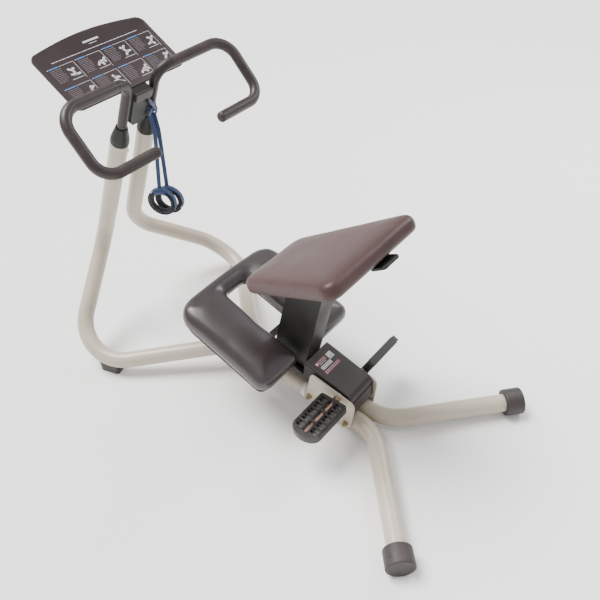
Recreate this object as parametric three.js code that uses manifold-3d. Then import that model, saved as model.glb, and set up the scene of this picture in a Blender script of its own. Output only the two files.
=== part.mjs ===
// A floor-standing stretching machine: a bent tube frame, a rocking seat and shin pad,
// two spinning foot pedals, handlebars, an instruction board and a hanging stretch strap.
// Millimetres. +X is the user's left, the user faces -Y, +Z is up, the floor is z = 0.

import * as THREE from 'three';
import { mergeVertices } from 'three/addons/utils/BufferGeometryUtils.js';
import Module from 'manifold-3d';

const wasm = await Module();
wasm.setup();

// ---------- driving dimensions ----------

const GAP = 0.3;                       // left between pieces that touch
const RUNNING = 0.08;                  // radial clearance of a turning fit

const TUBE_R = 30.15;                  // main frame tube
const TUBE_WALL = 2;
const COLUMN_TOP = [56.3, -542.5, 812];
const COLUMN_FOOT = [69, -796, 340];
const FLOOR_CORNER = [455, -615, 35];
const SPINE_FRONT = [30.5, -131, 109];
const SPINE_REAR = [30.5, 457, 43];
const LEG_END = [365.5, 770, 43];
const FRAME_RADII = [139, 165, 200, 166];

const BAR_R = 16;                      // handlebar tube
const GRIP_R = 17;
const BAR_CORNER = [54, -417, 1042];
const GRIP_OUTER_TOP = [321, -387, 1058];
const GRIP_OUTER_LOW = [321, -249, 898];
const GRIP_TIP = [134, -245, 900];
const BAR_CORNER_RADIUS = 56;
const GRIP_RADII = [66, 58];
const GRIP_START = 54;                 // along the bar from its corner to the grip
const SLEEVE_LENGTH = 70;
const BAR_IN_COLUMN = 60;

const CAP_R = 44.5;                    // rubber caps on the rear legs
const CAP_LENGTH = 61;
const CAP_CENTRE_Z = 43.5;

const PLATE_INNER_X = 61;              // side plates that clamp the two spines
const PLATE_THICKNESS = 6;
const PLATE_OUTLINE = [[226, 205], [402, 168], [385, 38], [197, 84]];
const PLATE_RADII = [16, 24, 14, 14];
const PLATE_BOLTS = [[216, 90], [365, 58]];

const PIVOT_Y = 336;                   // the rocker's shaft and both pedal spindles
const PIVOT_Z = 162;
const SHAFT_R = 10;
const BUSH_R = 15;

const ARM_OUTER_X = 57;                // rocker arm webs
const WEB_THICKNESS = 4;

const POST_HALF_WIDTH = 38;
const POST_WALL = 3;

const SEAT_CENTRE = [0, 237, 635];
const SEAT_TILT = 28.6;                // degrees, rear edge high
const SEAT_HALF_LENGTH = 230;
const SEAT_FRONT_HALF = 142;
const SEAT_REAR_HALF = 218;
const SEAT_PAD_THICKNESS = 52;
const SEAT_PAN_THICKNESS = 9;

const KNEE_CENTRE = [0, -24, 291];
const KNEE_TILT = -19.5;               // degrees, front edge high
const KNEE_HALF_LENGTH = 211;
const KNEE_HALF_WIDTH = 238;
const KNEE_PAD_THICKNESS = 69;
const KNEE_BOARD_THICKNESS = 9;
const KNEE_SLOT_HALF = 50;
const KNEE_BAR = 66;                   // fore and aft width of the front bar

const PEDAL_INNER_X = 84;
const PEDAL_OUTER_X = 260;
const PEDAL_HALF_WIDTH = 51;
const PEDAL_THICKNESS = 24;
const SPINDLE_R = 7;
const PEDAL_PITCH = { left: 0, right: 63 };

const CONSOLE_LOW = 70;                // along the bars, from the column tops
const CONSOLE_TOP = 209;

const BOARD_HALF_WIDTH = 212;
const BOARD_FRONT = [-656, 1114];      // y, z of the upper corners of the instruction board
const BOARD_REAR = [-468, 996];        // y, z of its lower edge
const BOARD_THICKNESS = 5;

const STRAP_WIDTH = 14;
const STRAP_THICKNESS = 3;
const RING_R = 41;
const RING_TUBE_R = 12.5;
const RING_YAW = 25;                   // degrees, both rings turn a little to the rear

const SIDES = [['left', 1], ['right', -1]];

// ---------- materials ----------

const material = (color, roughness, metalness = 0) =>
  new THREE.MeshStandardMaterial({ color, roughness, metalness });
const PAINT = material(0xd9d2c0, 0.42, 0.1);
const DARK_PAINT = material(0x2b2a28, 0.5, 0.2);
const PLASTIC = material(0x5c5050, 0.55);
const GRIP = material(0x4a3f3f, 0.7);
const RUBBER = material(0x4d4546, 0.8);
const VINYL = material(0x7a6567, 0.5);
const PAD_VINYL = material(0x5c5254, 0.42);
const PEDAL = material(0x2a2725, 0.5);
const NYLON = material(0xe9e6de, 0.5);
const BRASS = material(0xb49a62, 0.35, 0.9);
const STEEL = material(0xc9a79a, 0.3, 0.9);
const PLY = material(0x2a2423, 0.7);
const BOARD = material(0x55464a, 0.45);
const WEBBING = material(0x35508c, 0.85);
const FOAM = material(0x262426, 0.9);

// ---------- helpers ----------

const v3 = (p) => new THREE.Vector3(...p);
const mirrored = (p, side) => [p[0] * side, p[1], p[2]];
const degrees = THREE.MathUtils.degToRad;

// A regular polygon of n points; turned half a step so that flats lie on the axes.
function circlePoints(radius, n, cx = 0, cy = 0) {
  return Array.from({ length: n }, (_, i) => {
    const a = ((i + 0.5) / n) * Math.PI * 2;
    return new THREE.Vector2(cx + radius * Math.cos(a), cy + radius * Math.sin(a));
  });
}

function discShape(radius, n, hole = 0, holeSides = n) {
  const shape = new THREE.Shape(circlePoints(radius, n));
  if (hole > 0) shape.holes.push(new THREE.Path(circlePoints(hole, holeSides)));
  return shape;
}

// The closed outline through 2-D corners, each rounded to its own radius.
function roundedShape(corners, radii, step = degrees(18)) {
  const points = [];
  corners.forEach((corner, i) => {
    const here = new THREE.Vector2(...corner);
    const before = new THREE.Vector2(...corners.at(i - 1)).sub(here).normalize();
    const after = new THREE.Vector2(...corners[(i + 1) % corners.length]).sub(here).normalize();
    const opening = Math.acos(before.dot(after));
    const radius = Array.isArray(radii) ? radii[i] : radii;
    if (radius === 0) return points.push(here);
    const centre = before.clone().add(after).normalize()
      .multiplyScalar(radius / Math.sin(opening / 2)).add(here);
    const back = radius / Math.tan(opening / 2);
    const first = before.multiplyScalar(back).add(here).sub(centre);
    const last = after.multiplyScalar(back).add(here).sub(centre);
    const turn = Math.atan2(first.cross(last), first.dot(last));
    const steps = Math.max(2, Math.ceil(Math.abs(turn) / step));
    for (let k = 0; k <= steps; k += 1) {
      points.push(first.clone().rotateAround(new THREE.Vector2(), (turn * k) / steps).add(centre));
    }
    return points.length;
  });
  return new THREE.Shape(points);
}

// Stations along straight runs joined by arcs: each has a place and a direction.
function filletRoute(points, radii, step = degrees(12)) {
  const route = [];
  const p = points.map(v3);
  const along = (a, b) => b.clone().sub(a).normalize();
  route.push({ at: p[0], to: along(p[0], p[1]) });
  for (let i = 1; i < p.length - 1; i += 1) {
    const inward = along(p[i - 1], p[i]);
    const outward = along(p[i], p[i + 1]);
    const turn = inward.angleTo(outward);
    const radius = radii[i - 1];
    const start = p[i].clone().addScaledVector(inward, -radius * Math.tan(turn / 2));
    const axis = inward.clone().cross(outward).normalize();
    const centre = start.clone().addScaledVector(axis.clone().cross(inward), radius);
    const steps = Math.ceil(turn / step);
    for (let k = 0; k <= steps; k += 1) {
      const angle = (turn * k) / steps;
      const at = start.clone().sub(centre).applyAxisAngle(axis, angle).add(centre);
      route.push({ at, to: inward.clone().applyAxisAngle(axis, angle) });
    }
  }
  route.push({ at: p.at(-1), to: along(p.at(-2), p.at(-1)) });
  return route;
}

// Hands ExtrudeGeometry the route's own stations in place of evenly spaced ones.
class StationCurve extends THREE.Curve {
  constructor(route) {
    super();
    this.route = route;
  }

  station(u) {
    return this.route[Math.round(u * (this.route.length - 1))];
  }

  getPointAt(u, target = new THREE.Vector3()) {
    return target.copy(this.station(u).at);
  }

  getTangentAt(u, target = new THREE.Vector3()) {
    return target.copy(this.station(u).to);
  }
}

const sweep = (shape, route) => new THREE.ExtrudeGeometry(shape, {
  steps: route.length - 1,
  extrudePath: new StationCurve(route),
});

// A straight extrusion that is centred on its own middle plane.
function slab(shape, thickness, options = {}) {
  const geometry = new THREE.ExtrudeGeometry(shape, {
    depth: thickness, steps: 1, bevelEnabled: false, ...options,
  });
  return geometry.translate(0, 0, -thickness / 2);
}

// A pad with round edges: its outline and thickness are the finished ones.
function roundedPad(shape, thickness, edge, segments) {
  return slab(shape, thickness - 2 * edge, {
    bevelEnabled: true,
    bevelThickness: edge,
    bevelSize: edge,
    bevelOffset: -edge,
    bevelSegments: segments,
  });
}

// A side profile given as y, z and spread along x.
function profileSlab(shape, width, options) {
  const turn = new THREE.Matrix4().makeBasis(v3([0, 1, 0]), v3([0, 0, 1]), v3([1, 0, 0]));
  return slab(shape, width, options).applyMatrix4(turn);
}

// A rod or lathe turned so that its own +Y runs along the given direction.
function turnedAlong(geometry, direction, at) {
  const turn = new THREE.Quaternion().setFromUnitVectors(v3([0, 1, 0]), direction);
  return geometry.applyQuaternion(turn).translate(at.x, at.y, at.z);
}

const lathe = (profile, segments) =>
  new THREE.LatheGeometry(profile.map((q) => new THREE.Vector2(...q)), segments);

// A solid rod along x, with the same facets as circlePoints, so that fits stay true.
const rodX = (radius, length, sides) =>
  profileSlab(new THREE.Shape(circlePoints(radius, sides)), length);

function toSolid(geometry) {
  const bare = geometry.clone();
  bare.deleteAttribute('normal');
  bare.deleteAttribute('uv');
  const merged = mergeVertices(bare, 1e-4);
  return new wasm.Manifold(new wasm.Mesh({
    numProp: 3,
    vertProperties: Float32Array.from(merged.attributes.position.array),
    triVerts: Uint32Array.from(merged.index.array),
  }));
}

function toGeometry(solid) {
  const mesh = solid.getMesh();
  const geometry = new THREE.BufferGeometry();
  geometry.setAttribute('position', new THREE.BufferAttribute(mesh.vertProperties, 3));
  geometry.setIndex(new THREE.BufferAttribute(mesh.triVerts, 1));
  return geometry;
}

const cut = (body, ...tools) =>
  toGeometry(tools.reduce((rest, tool) => rest.subtract(toSolid(tool)), toSolid(body)));

const machine = new THREE.Group();

function add(name, geometry, look, parent = machine) {
  const mesh = new THREE.Mesh(geometry, look);
  mesh.name = name;
  parent.add(mesh);
  return mesh;
}

// A group whose local x, y, z are the width, the rearward slope and the surface normal.
function tiltedGroup(centre, tilt) {
  const group = new THREE.Group();
  group.position.set(...centre);
  group.rotation.x = degrees(tilt);
  machine.add(group);
  return group;
}

// ---------- frame ----------

const framePoints = (side) =>
  [COLUMN_TOP, COLUMN_FOOT, FLOOR_CORNER, SPINE_FRONT, SPINE_REAR, LEG_END]
    .map((p) => mirrored(p, side));

// Height of the spine tube's centre line at a given y.
function spineZ(y) {
  const t = (y - SPINE_FRONT[1]) / (SPINE_REAR[1] - SPINE_FRONT[1]);
  return THREE.MathUtils.lerp(SPINE_FRONT[2], SPINE_REAR[2], t);
}
const SPINE_SLOPE = Math.atan2(SPINE_REAR[2] - SPINE_FRONT[2], SPINE_REAR[1] - SPINE_FRONT[1]);

function buildFrameTube(label, side) {
  const shape = discShape(TUBE_R, 20, TUBE_R - TUBE_WALL, 12);
  add(`frame_tube_${label}`, sweep(shape, filletRoute(framePoints(side), FRAME_RADII)), PAINT);
}

// A rubber saddle that turns with the front bend and stands flat on the floor.
const FOOT_Y = -528;
const FOOT_HALF_LENGTH = 40;
const FOOT_HALF_WIDTH = 20;
const FOOT_WRAP = 9;                   // how far it reaches up round the tube
function buildFrontFoot(label, side) {
  const route = filletRoute(framePoints(side), FRAME_RADII, degrees(6));
  const low = route.filter((here) => here.at.z < 2 * FLOOR_CORNER[2]);
  const offset = (here) => Math.abs(here.at.y - FOOT_Y);
  const { at, to } = low.reduce((best, here) => (offset(here) < offset(best) ? here : best));
  const outline = roundedShape([[-FOOT_HALF_LENGTH, -FOOT_HALF_WIDTH],
    [FOOT_HALF_LENGTH, -FOOT_HALF_WIDTH], [FOOT_HALF_LENGTH, FOOT_HALF_WIDTH],
    [-FOOT_HALF_LENGTH, FOOT_HALF_WIDTH]], 12, degrees(30));
  const height = at.z - TUBE_R + FOOT_WRAP;
  const block = slab(outline, height).rotateZ(Math.atan2(to.y, to.x))
    .translate(at.x, at.y, height / 2);
  const tube = sweep(discShape(TUBE_R + GAP, 20), route);
  add(`front_foot_${label}`, cut(block, tube), RUBBER);
}

// A round cap with an offset socket, flattened where it meets the floor.
function buildRearCap(label, side) {
  const end = v3(mirrored(LEG_END, side));
  const direction = end.clone().sub(v3(mirrored(SPINE_REAR, side))).normalize();
  const edge = 7;
  const wall = 9;
  const profile = [[0, 0], [CAP_R - edge, 0], [CAP_R - 2, 2], [CAP_R, edge],
    [CAP_R, CAP_LENGTH - 4], [CAP_R - 4, CAP_LENGTH], [0, CAP_LENGTH]];
  const tip = end.clone().addScaledVector(direction, wall).setZ(CAP_CENTRE_Z);
  const body = turnedAlong(lathe(profile, 28), direction.clone().negate(), tip);
  const socket = new THREE.CylinderGeometry(TUBE_R + GAP, TUBE_R + GAP, CAP_LENGTH, 20);
  const middle = end.clone().addScaledVector(direction, GAP - CAP_LENGTH / 2);
  const floor = new THREE.BoxGeometry(300, 300, 20).translate(tip.x, tip.y, -10);
  add(`rear_cap_${label}`, cut(body, turnedAlong(socket, direction, middle), floor), RUBBER);
}

function buildSidePlate(label, side) {
  const shape = roundedShape(PLATE_OUTLINE, PLATE_RADII);
  const place = side * (PLATE_INNER_X + PLATE_THICKNESS / 2);
  shape.holes.push(new THREE.Path(circlePoints(SHAFT_R + GAP, 24, PIVOT_Y, PIVOT_Z)));
  PLATE_BOLTS.forEach(([y, z]) => shape.holes.push(new THREE.Path(circlePoints(5.5, 12, y, z))));
  add(`side_plate_${label}`, profileSlab(shape, PLATE_THICKNESS).translate(place, 0, 0), PAINT);
}

// A flanged nut on the plate with its stub end standing out.
function buildPlateBolt(label, side, where, [y, z]) {
  const flange = GAP + 3;
  const head = flange + 8;
  const profile = [[0, -PLATE_THICKNESS + 0.5], [5, -PLATE_THICKNESS + 0.5], [5, GAP], [11, GAP],
    [11, flange], [8.5, flange], [8.5, head], [5, head], [5, head + 6], [0, head + 6]];
  const at = v3([side * (PLATE_INNER_X + PLATE_THICKNESS), y, z]);
  const bolt = turnedAlong(lathe(profile, 10), v3([side, 0, 0]), at);
  add(`plate_bolt_${where}_${label}`, bolt, BRASS);
}

// A nylon band over the spine tube that the rocker rests on.
const COLLAR_Y = 181;
const COLLAR_WIDTH = 17;
const COLLAR_THICKNESS = 4;
function buildStopCollar(label, side) {
  const inner = TUBE_R + GAP;
  const outer = inner + COLLAR_THICKNESS;
  const steps = 12;
  const arc = (radius, from, to) => Array.from({ length: steps + 1 }, (_, i) => {
    const a = degrees(from + ((to - from) * i) / steps);
    return new THREE.Vector2(radius * Math.cos(a), radius * Math.sin(a));
  });
  const [low, high] = side > 0 ? [-70, 108] : [72, 250];
  const shape = new THREE.Shape([...arc(outer, low, high), ...arc(inner, high, low)]);
  const band = slab(shape, COLLAR_WIDTH).rotateX(Math.PI / 2);
  band.rotateX(SPINE_SLOPE);
  add(`stop_collar_${label}`, band, NYLON).position
    .set(side * SPINE_FRONT[0], COLLAR_Y, spineZ(COLLAR_Y));
}

// ---------- handlebars ----------

// The bar leans back a little more than the column that it stands in.
const BAR_LEAN_GAP = 1.8;
const barLine = (side) => {
  const top = v3(mirrored(COLUMN_TOP, side));
  return v3(mirrored(BAR_CORNER, side)).sub(top).normalize();
};

function buildSleeve(label, side) {
  const bore = BAR_R + GAP;
  const shoulder = SLEEVE_LENGTH - 34;
  const profile = [[bore, 0], [TUBE_R + 0.8, 0], [TUBE_R + 0.8, shoulder],
    [BAR_R + 4, SLEEVE_LENGTH - 4], [BAR_R + 2, SLEEVE_LENGTH], [bore, SLEEVE_LENGTH],
    [bore, 0]];
  const base = v3(mirrored(COLUMN_TOP, side)).addScaledVector(barLine(side), BAR_LEAN_GAP);
  add(`column_sleeve_${label}`, turnedAlong(lathe(profile, 26), barLine(side), base), DARK_PAINT);
}

const barCorner = (side) => v3(mirrored(BAR_CORNER, side));

function barRoute(side) {
  const top = v3(mirrored(COLUMN_TOP, side));
  const start = top.clone().addScaledVector(barLine(side), -BAR_IN_COLUMN);
  const corner = barCorner(side);
  const outward = v3(mirrored(GRIP_OUTER_TOP, side)).sub(corner).normalize();
  const seam = corner.clone().addScaledVector(outward, GRIP_START);
  return filletRoute([start.toArray(), corner.toArray(), seam.toArray()], [BAR_CORNER_RADIUS]);
}

// The bent steel bar, from inside the column to the seam of the grip.
function buildHandlebar(label, side) {
  add(`handlebar_${label}`, sweep(discShape(BAR_R, 16, BAR_R - 3, 8), barRoute(side)), DARK_PAINT);
}

// The grip covers the rest of the bar; its last stretch narrows to a round end.
function buildGrip(label, side) {
  const corner = barCorner(side);
  const outerTop = v3(mirrored(GRIP_OUTER_TOP, side));
  const outward = outerTop.clone().sub(corner).normalize();
  const seam = corner.clone().addScaledVector(outward, GRIP_START + GAP);
  const points = [seam.toArray(), outerTop.toArray(), mirrored(GRIP_OUTER_LOW, side),
    mirrored(GRIP_TIP, side)];
  const route = filletRoute(points, GRIP_RADII);
  add(`grip_${label}`, sweep(discShape(GRIP_R, 16), route), GRIP);
  const tip = route.at(-1);
  const dome = Array.from({ length: 5 }, (_, i) => {
    const a = degrees(i * 22.5);
    return [GRIP_R * Math.cos(a), GAP + 0.75 * GRIP_R * Math.sin(a)];
  });
  dome[4][0] = 0;
  add(`grip_end_${label}`, turnedAlong(lathe([[0, GAP], ...dome], 16), tip.to, tip.at), RUBBER);
}

// ---------- console and instruction board ----------

function buildConsole() {
  const line = barLine(1);
  const group = new THREE.Group();
  group.position.set(0, COLUMN_TOP[1], COLUMN_TOP[2]);
  group.rotation.x = Math.atan2(line.z, line.y) - Math.PI / 2;
  machine.add(group);
  // Between the bars, widest just under the board.
  const half = BAR_CORNER[0] - BAR_R - STRAP_THICKNESS - 2;
  const shape = roundedShape([[-half, CONSOLE_TOP], [-half, CONSOLE_LOW + 14],
    [-half + 12, CONSOLE_LOW], [half - 12, CONSOLE_LOW], [half, CONSOLE_LOW + 14],
    [half, CONSOLE_TOP]], 3);
  const panel = slab(shape, 24).rotateX(Math.PI / 2);
  add('console_panel', panel, DARK_PAINT, group);
  const ledge = roundedPad(roundedShape([[-half, -17], [half, -17], [half, 17], [-half, 17]], 3),
    10, 2, 1).rotateX(Math.PI / 2);
  add('console_ledge', ledge, PLASTIC, group).position.set(0, 17.4, CONSOLE_TOP - 13);
}

const BOARD_LENGTH = Math.hypot(BOARD_REAR[0] - BOARD_FRONT[0], BOARD_REAR[1] - BOARD_FRONT[1]);

// The board's own frame: x across, y up the board, z out of its printed face.
function boardGroup() {
  const group = new THREE.Group();
  group.position.set(0, BOARD_REAR[0], BOARD_REAR[1]);
  const rise = Math.atan2(BOARD_FRONT[1] - BOARD_REAR[1], BOARD_REAR[0] - BOARD_FRONT[0]);
  group.rotation.set(-rise, 0, Math.PI);
  machine.add(group);
  return group;
}

function buildBoard() {
  const group = boardGroup();
  const corner = 24;
  const arch = 24;
  const points = roundedShape([[-BOARD_HALF_WIDTH, 0], [BOARD_HALF_WIDTH, 0],
    [BOARD_HALF_WIDTH, BOARD_LENGTH], [-BOARD_HALF_WIDTH, BOARD_LENGTH]], corner).getPoints();
  const bulge = (x) => arch * Math.cos((x / BOARD_HALF_WIDTH) * (Math.PI / 2));
  const crown = points.map((q) =>
    new THREE.Vector2(q.x, q.y > BOARD_LENGTH / 2 ? q.y + bulge(q.x) : q.y));
  const next = (i) => crown[(i + 1) % crown.length];
  const split = crown.findIndex((q, i) => q.y > BOARD_LENGTH && next(i).x < 0);
  const extra = Array.from({ length: 9 }, (_, i) => {
    const x = (0.8 - i * 0.2) * (BOARD_HALF_WIDTH - corner);
    return new THREE.Vector2(x, BOARD_LENGTH + bulge(x));
  });
  crown.splice(split + 1, 0, ...extra);
  const plate = slab(new THREE.Shape(crown), BOARD_THICKNESS);
  add('instruction_board', plate, BOARD, group).position.set(0, 0, -BOARD_THICKNESS / 2);
  const bracket = slab(roundedShape([[-34, 6], [34, 6], [60, 150], [-60, 150]], 8), 4);
  add('board_bracket', bracket, DARK_PAINT, group).position
    .set(0, 0, -BOARD_THICKNESS - GAP - 2);
}

// ---------- rocker: arm, post, seat and shin pad ----------

const WEB_X = ARM_OUTER_X - WEB_THICKNESS / 2;
const REST_Z = (y) => spineZ(y) + (TUBE_R + COLLAR_THICKNESS + 2 * GAP) / Math.cos(SPINE_SLOPE);

function buildArm() {
  SIDES.forEach(([label, side]) => {
    const shape = roundedShape([[372, 104], [379, 146], [362, 180], [194, 229], [186, 170],
      [62, 214], [30, 220], [28, 174], [120, 167], [196, 150], [228, 107], [330, 96]],
    [10, 8, 8, 4, 4, 6, 6, 10, 8, 8, 8, 12], degrees(30));
    shape.holes.push(new THREE.Path(circlePoints(BUSH_R, 24, PIVOT_Y, PIVOT_Z)));
    const web = profileSlab(shape, WEB_THICKNESS).translate(side * WEB_X, 0, 0);
    add(`arm_web_${label}`, web, DARK_PAINT);
    const bush = discShape(BUSH_R - GAP, 24, SHAFT_R + RUNNING, 32);
    add(`pivot_bush_${label}`, profileSlab(bush, WEB_THICKNESS + 3), NYLON).position
      .set(side * WEB_X, PIVOT_Y, PIVOT_Z);
  });
  const inner = 2 * (WEB_X - WEB_THICKNESS / 2 - GAP);
  const sheet = (points, thickness) => {
    const lifted = [...points].reverse().map(([y, z]) => [y, z - thickness]);
    return profileSlab(roundedShape([...points, ...lifted], 0), inner);
  };
  add('arm_deck', sheet([[354, 179], [202, 223.5]], 4), DARK_PAINT);
  add('arm_base', sheet([[190, 160], [36, 182]], 6), DARK_PAINT);
  // The block that lands on both collars; its foot follows their slope.
  const [restFront, restRear] = [COLLAR_Y - COLLAR_WIDTH / 2, COLLAR_Y + COLLAR_WIDTH / 2];
  const rest = profileSlab(roundedShape([[restFront, REST_Z(restFront)],
    [restRear, REST_Z(restRear)], [restRear, 153], [restFront, 153]], 0), 2 * (SPINE_FRONT[0] + 4));
  add('arm_rest', rest, DARK_PAINT);
}

function buildShaft() {
  const reach = PLATE_INNER_X + PLATE_THICKNESS;
  add('pivot_shaft', rodX(SHAFT_R, 2 * reach, 32), STEEL).position.set(0, PIVOT_Y, PIVOT_Z);
}

// The sheet cover over the arm: a sloping top that folds down at the rear.
const COVER_THICKNESS = 4;
function buildCover() {
  const top = [[197, 234.5], [200, 237.7], [371, 186], [382, 176], [387, 162], [388, 106]];
  const under = [[384, 106], [383, 161], [379, 174], [370, 181.8], [199, 233]];
  const shape = roundedShape([...top, ...under], 0);
  add('arm_cover', profileSlab(shape, 2 * ARM_OUTER_X + 2), PLASTIC);
}

// Side profile of the post between the arm and the seat's steel plate.
const seatPlane = (drop) => {
  const tilt = degrees(SEAT_TILT);
  return (y) => SEAT_CENTRE[2] + (y - SEAT_CENTRE[1]) * Math.tan(tilt) - drop / Math.cos(tilt);
};
const SEAT_DROP = (SEAT_PAD_THICKNESS + SEAT_PAN_THICKNESS) / 2 + GAP;
const SEAT_PLATE_THICKNESS = 6;

function buildPost() {
  const under = seatPlane(SEAT_DROP + SEAT_PLATE_THICKNESS + 2 * GAP);
  const frontTop = 140;
  const rearTop = 288;
  const outline = (inset, bottom) => [[46 + inset, bottom], [62 + inset, 268], [74 + inset, 312],
    [frontTop + inset, under(frontTop) - inset], [rearTop - inset, under(rearTop) - inset],
    [207 - inset, 300], [176 - inset, bottom]];
  const outer = profileSlab(roundedShape(outline(0, 184), 0), 2 * POST_HALF_WIDTH);
  const hollow = profileSlab(roundedShape(outline(POST_WALL, 170), 0),
    2 * (POST_HALF_WIDTH - POST_WALL));
  add('seat_post', cut(outer, hollow), DARK_PAINT);
}

function buildSeat() {
  const group = tiltedGroup(SEAT_CENTRE, SEAT_TILT);
  const front = -SEAT_HALF_LENGTH;
  const rear = SEAT_HALF_LENGTH;
  const outline = (inset) => [[inset - SEAT_FRONT_HALF, front + inset],
    [SEAT_FRONT_HALF - inset, front + inset], [SEAT_REAR_HALF - inset, rear - inset],
    [inset - SEAT_REAR_HALF, rear - inset]];
  const pad = roundedPad(roundedShape(outline(0), [48, 48, 40, 40], degrees(15)),
    SEAT_PAD_THICKNESS, 19, 4);
  const total = SEAT_PAD_THICKNESS + SEAT_PAN_THICKNESS;
  add('seat_pad', pad, VINYL, group).position.z = total / 2 - SEAT_PAD_THICKNESS / 2;
  const pan = slab(roundedShape(outline(44), 24), SEAT_PAN_THICKNESS - GAP);
  add('seat_pan', pan, PLY, group).position.z = -total / 2 + SEAT_PAN_THICKNESS / 2;
  const plate = slab(roundedShape([[-60, -100], [60, -100], [60, 100], [-60, 100]], 12),
    SEAT_PLATE_THICKNESS);
  add('seat_plate', plate, DARK_PAINT, group).position
    .set(0, 10, -SEAT_DROP - SEAT_PLATE_THICKNESS / 2);
  [[-46, -75], [46, -75], [-46, 95], [46, 95]].forEach(([x, y], i) => {
    const bolt = new THREE.CylinderGeometry(6, 6, 4, 12).rotateX(Math.PI / 2);
    add(`seat_bolt_${i + 1}`, bolt, BRASS, group).position
      .set(x, y, -SEAT_DROP - SEAT_PLATE_THICKNESS - GAP - 2);
  });
  // A short tongue under the rear edge.
  const tongue = roundedPad(roundedShape([[-42, -26], [42, -26], [36, 26], [-36, 26]], 10),
    10, 2, 1);
  add('seat_tongue', tongue, DARK_PAINT, group).position.set(-30, rear - 26, -SEAT_DROP - 5 - GAP);
}

const kneeOutline = (inset) => {
  const wide = KNEE_HALF_WIDTH - inset;
  const slot = KNEE_SLOT_HALF + inset;
  const front = -KNEE_HALF_LENGTH + inset;
  const rear = KNEE_HALF_LENGTH - inset;
  const bar = -KNEE_HALF_LENGTH + KNEE_BAR - inset;
  return [[-wide, front], [wide, front], [wide, rear], [slot, rear],
    [slot, bar], [-slot, bar], [-slot, rear], [-wide, rear]];
};

function buildKneePad() {
  const group = tiltedGroup(KNEE_CENTRE, KNEE_TILT);
  const total = KNEE_PAD_THICKNESS + KNEE_BOARD_THICKNESS;
  const pad = roundedPad(roundedShape(kneeOutline(0), [80, 80, 42, 30, 14, 14, 30, 42]),
    KNEE_PAD_THICKNESS, 28, 4);
  add('knee_pad', pad, PAD_VINYL, group).position.z = total / 2 - KNEE_PAD_THICKNESS / 2;
  const board = slab(roundedShape(kneeOutline(18), [70, 70, 24, 10, 8, 8, 10, 24], degrees(30)),
    KNEE_BOARD_THICKNESS - GAP);
  add('knee_board', board, PLY, group).position.z = -total / 2 + KNEE_BOARD_THICKNESS / 2;
  // A yoke that passes in front of the post and runs back under both legs of the pad.
  const yoke = slab(roundedShape([[-150, 50], [150, 50], [150, 74], [92, 190], [72, 190], [72, 74],
    [-72, 74], [-72, 190], [-92, 190], [-150, 74]], 6, degrees(30)), 4);
  const drop = total / 2 + GAP + 2;
  add('knee_yoke', yoke, DARK_PAINT, group).position.z = -drop;
  [[-120, 62], [120, 62]].forEach(([x, y], i) => {
    const bolt = new THREE.CylinderGeometry(6, 6, 4, 12).rotateX(Math.PI / 2);
    add(`knee_bolt_${i + 1}`, bolt, BRASS, group).position.set(x, y, -drop - 4 - GAP);
  });
}

// ---------- pedals ----------

function pedalOutline() {
  const points = [];
  const bulge = 34;
  const steps = 10;
  points.push(new THREE.Vector2(PEDAL_INNER_X, -PEDAL_HALF_WIDTH + 6));
  points.push(new THREE.Vector2(PEDAL_INNER_X + 6, -PEDAL_HALF_WIDTH));
  for (let i = 0; i <= steps; i += 1) {
    const a = -Math.PI / 2 + (Math.PI * i) / steps;
    points.push(new THREE.Vector2(PEDAL_OUTER_X - bulge + bulge * Math.cos(a),
      PEDAL_HALF_WIDTH * Math.sin(a)));
  }
  points.push(new THREE.Vector2(PEDAL_INNER_X + 6, PEDAL_HALF_WIDTH));
  points.push(new THREE.Vector2(PEDAL_INNER_X, PEDAL_HALF_WIDTH - 6));
  return new THREE.Shape(points);
}

// The cage: two rails, cross ribs with open windows between them, and the spindle's bore.
function buildPedal(label, side) {
  const body = slab(pedalOutline(), PEDAL_THICKNESS);
  const length = PEDAL_OUTER_X - 10 - PEDAL_INNER_X;
  const bore = rodX(SPINDLE_R + RUNNING, length + 20, 24)
    .translate(PEDAL_INNER_X + length / 2 - 10, 0, 0);
  const windows = [];
  const sidePitch = 29;
  for (let i = 0; i < 5; i += 1) {
    const x = PEDAL_INNER_X + 22 + i * sidePitch;
    [-28, 28].forEach((y) => {
      windows.push(new THREE.BoxGeometry(22, 27, 2 * PEDAL_THICKNESS).translate(x, y, 0));
    });
  }
  for (let i = 0; i < 3; i += 1) {
    const x = PEDAL_INNER_X + 33 + i * 51;
    windows.push(new THREE.BoxGeometry(42, 20, 2 * PEDAL_THICKNESS).translate(x, 0, 0));
  }
  const cage = cut(body, bore, ...windows);
  if (side < 0) cage.rotateZ(Math.PI);
  cage.rotateX(degrees(PEDAL_PITCH[label]));
  add(`pedal_body_${label}`, cage, PEDAL).position.set(0, PIVOT_Y, PIVOT_Z);

  const root = PLATE_INNER_X + PLATE_THICKNESS + GAP;
  const tip = PEDAL_OUTER_X - 12;
  const spindle = rodX(SPINDLE_R, tip - root, 24).translate((side * (tip + root)) / 2, 0, 0);
  add(`pedal_spindle_${label}`, spindle, STEEL).position.set(0, PIVOT_Y, PIVOT_Z);
  const nut = profileSlab(discShape(13, 6, SPINDLE_R + GAP, 24), 10);
  add(`spindle_nut_${label}`, nut, BRASS).position.set(side * (root + 5), PIVOT_Y, PIVOT_Z);
}

// ---------- stretch strap ----------

// Hitched round the right handlebar, it hangs in two strands to two padded rings.
const STRAP_TOP = [-50, -482.5, 884.6];
const STRAND_HALF_PITCH = 8;
const RING_CENTRES = { left: [-21, -493, 562], right: [-51, -489, 556] };

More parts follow.
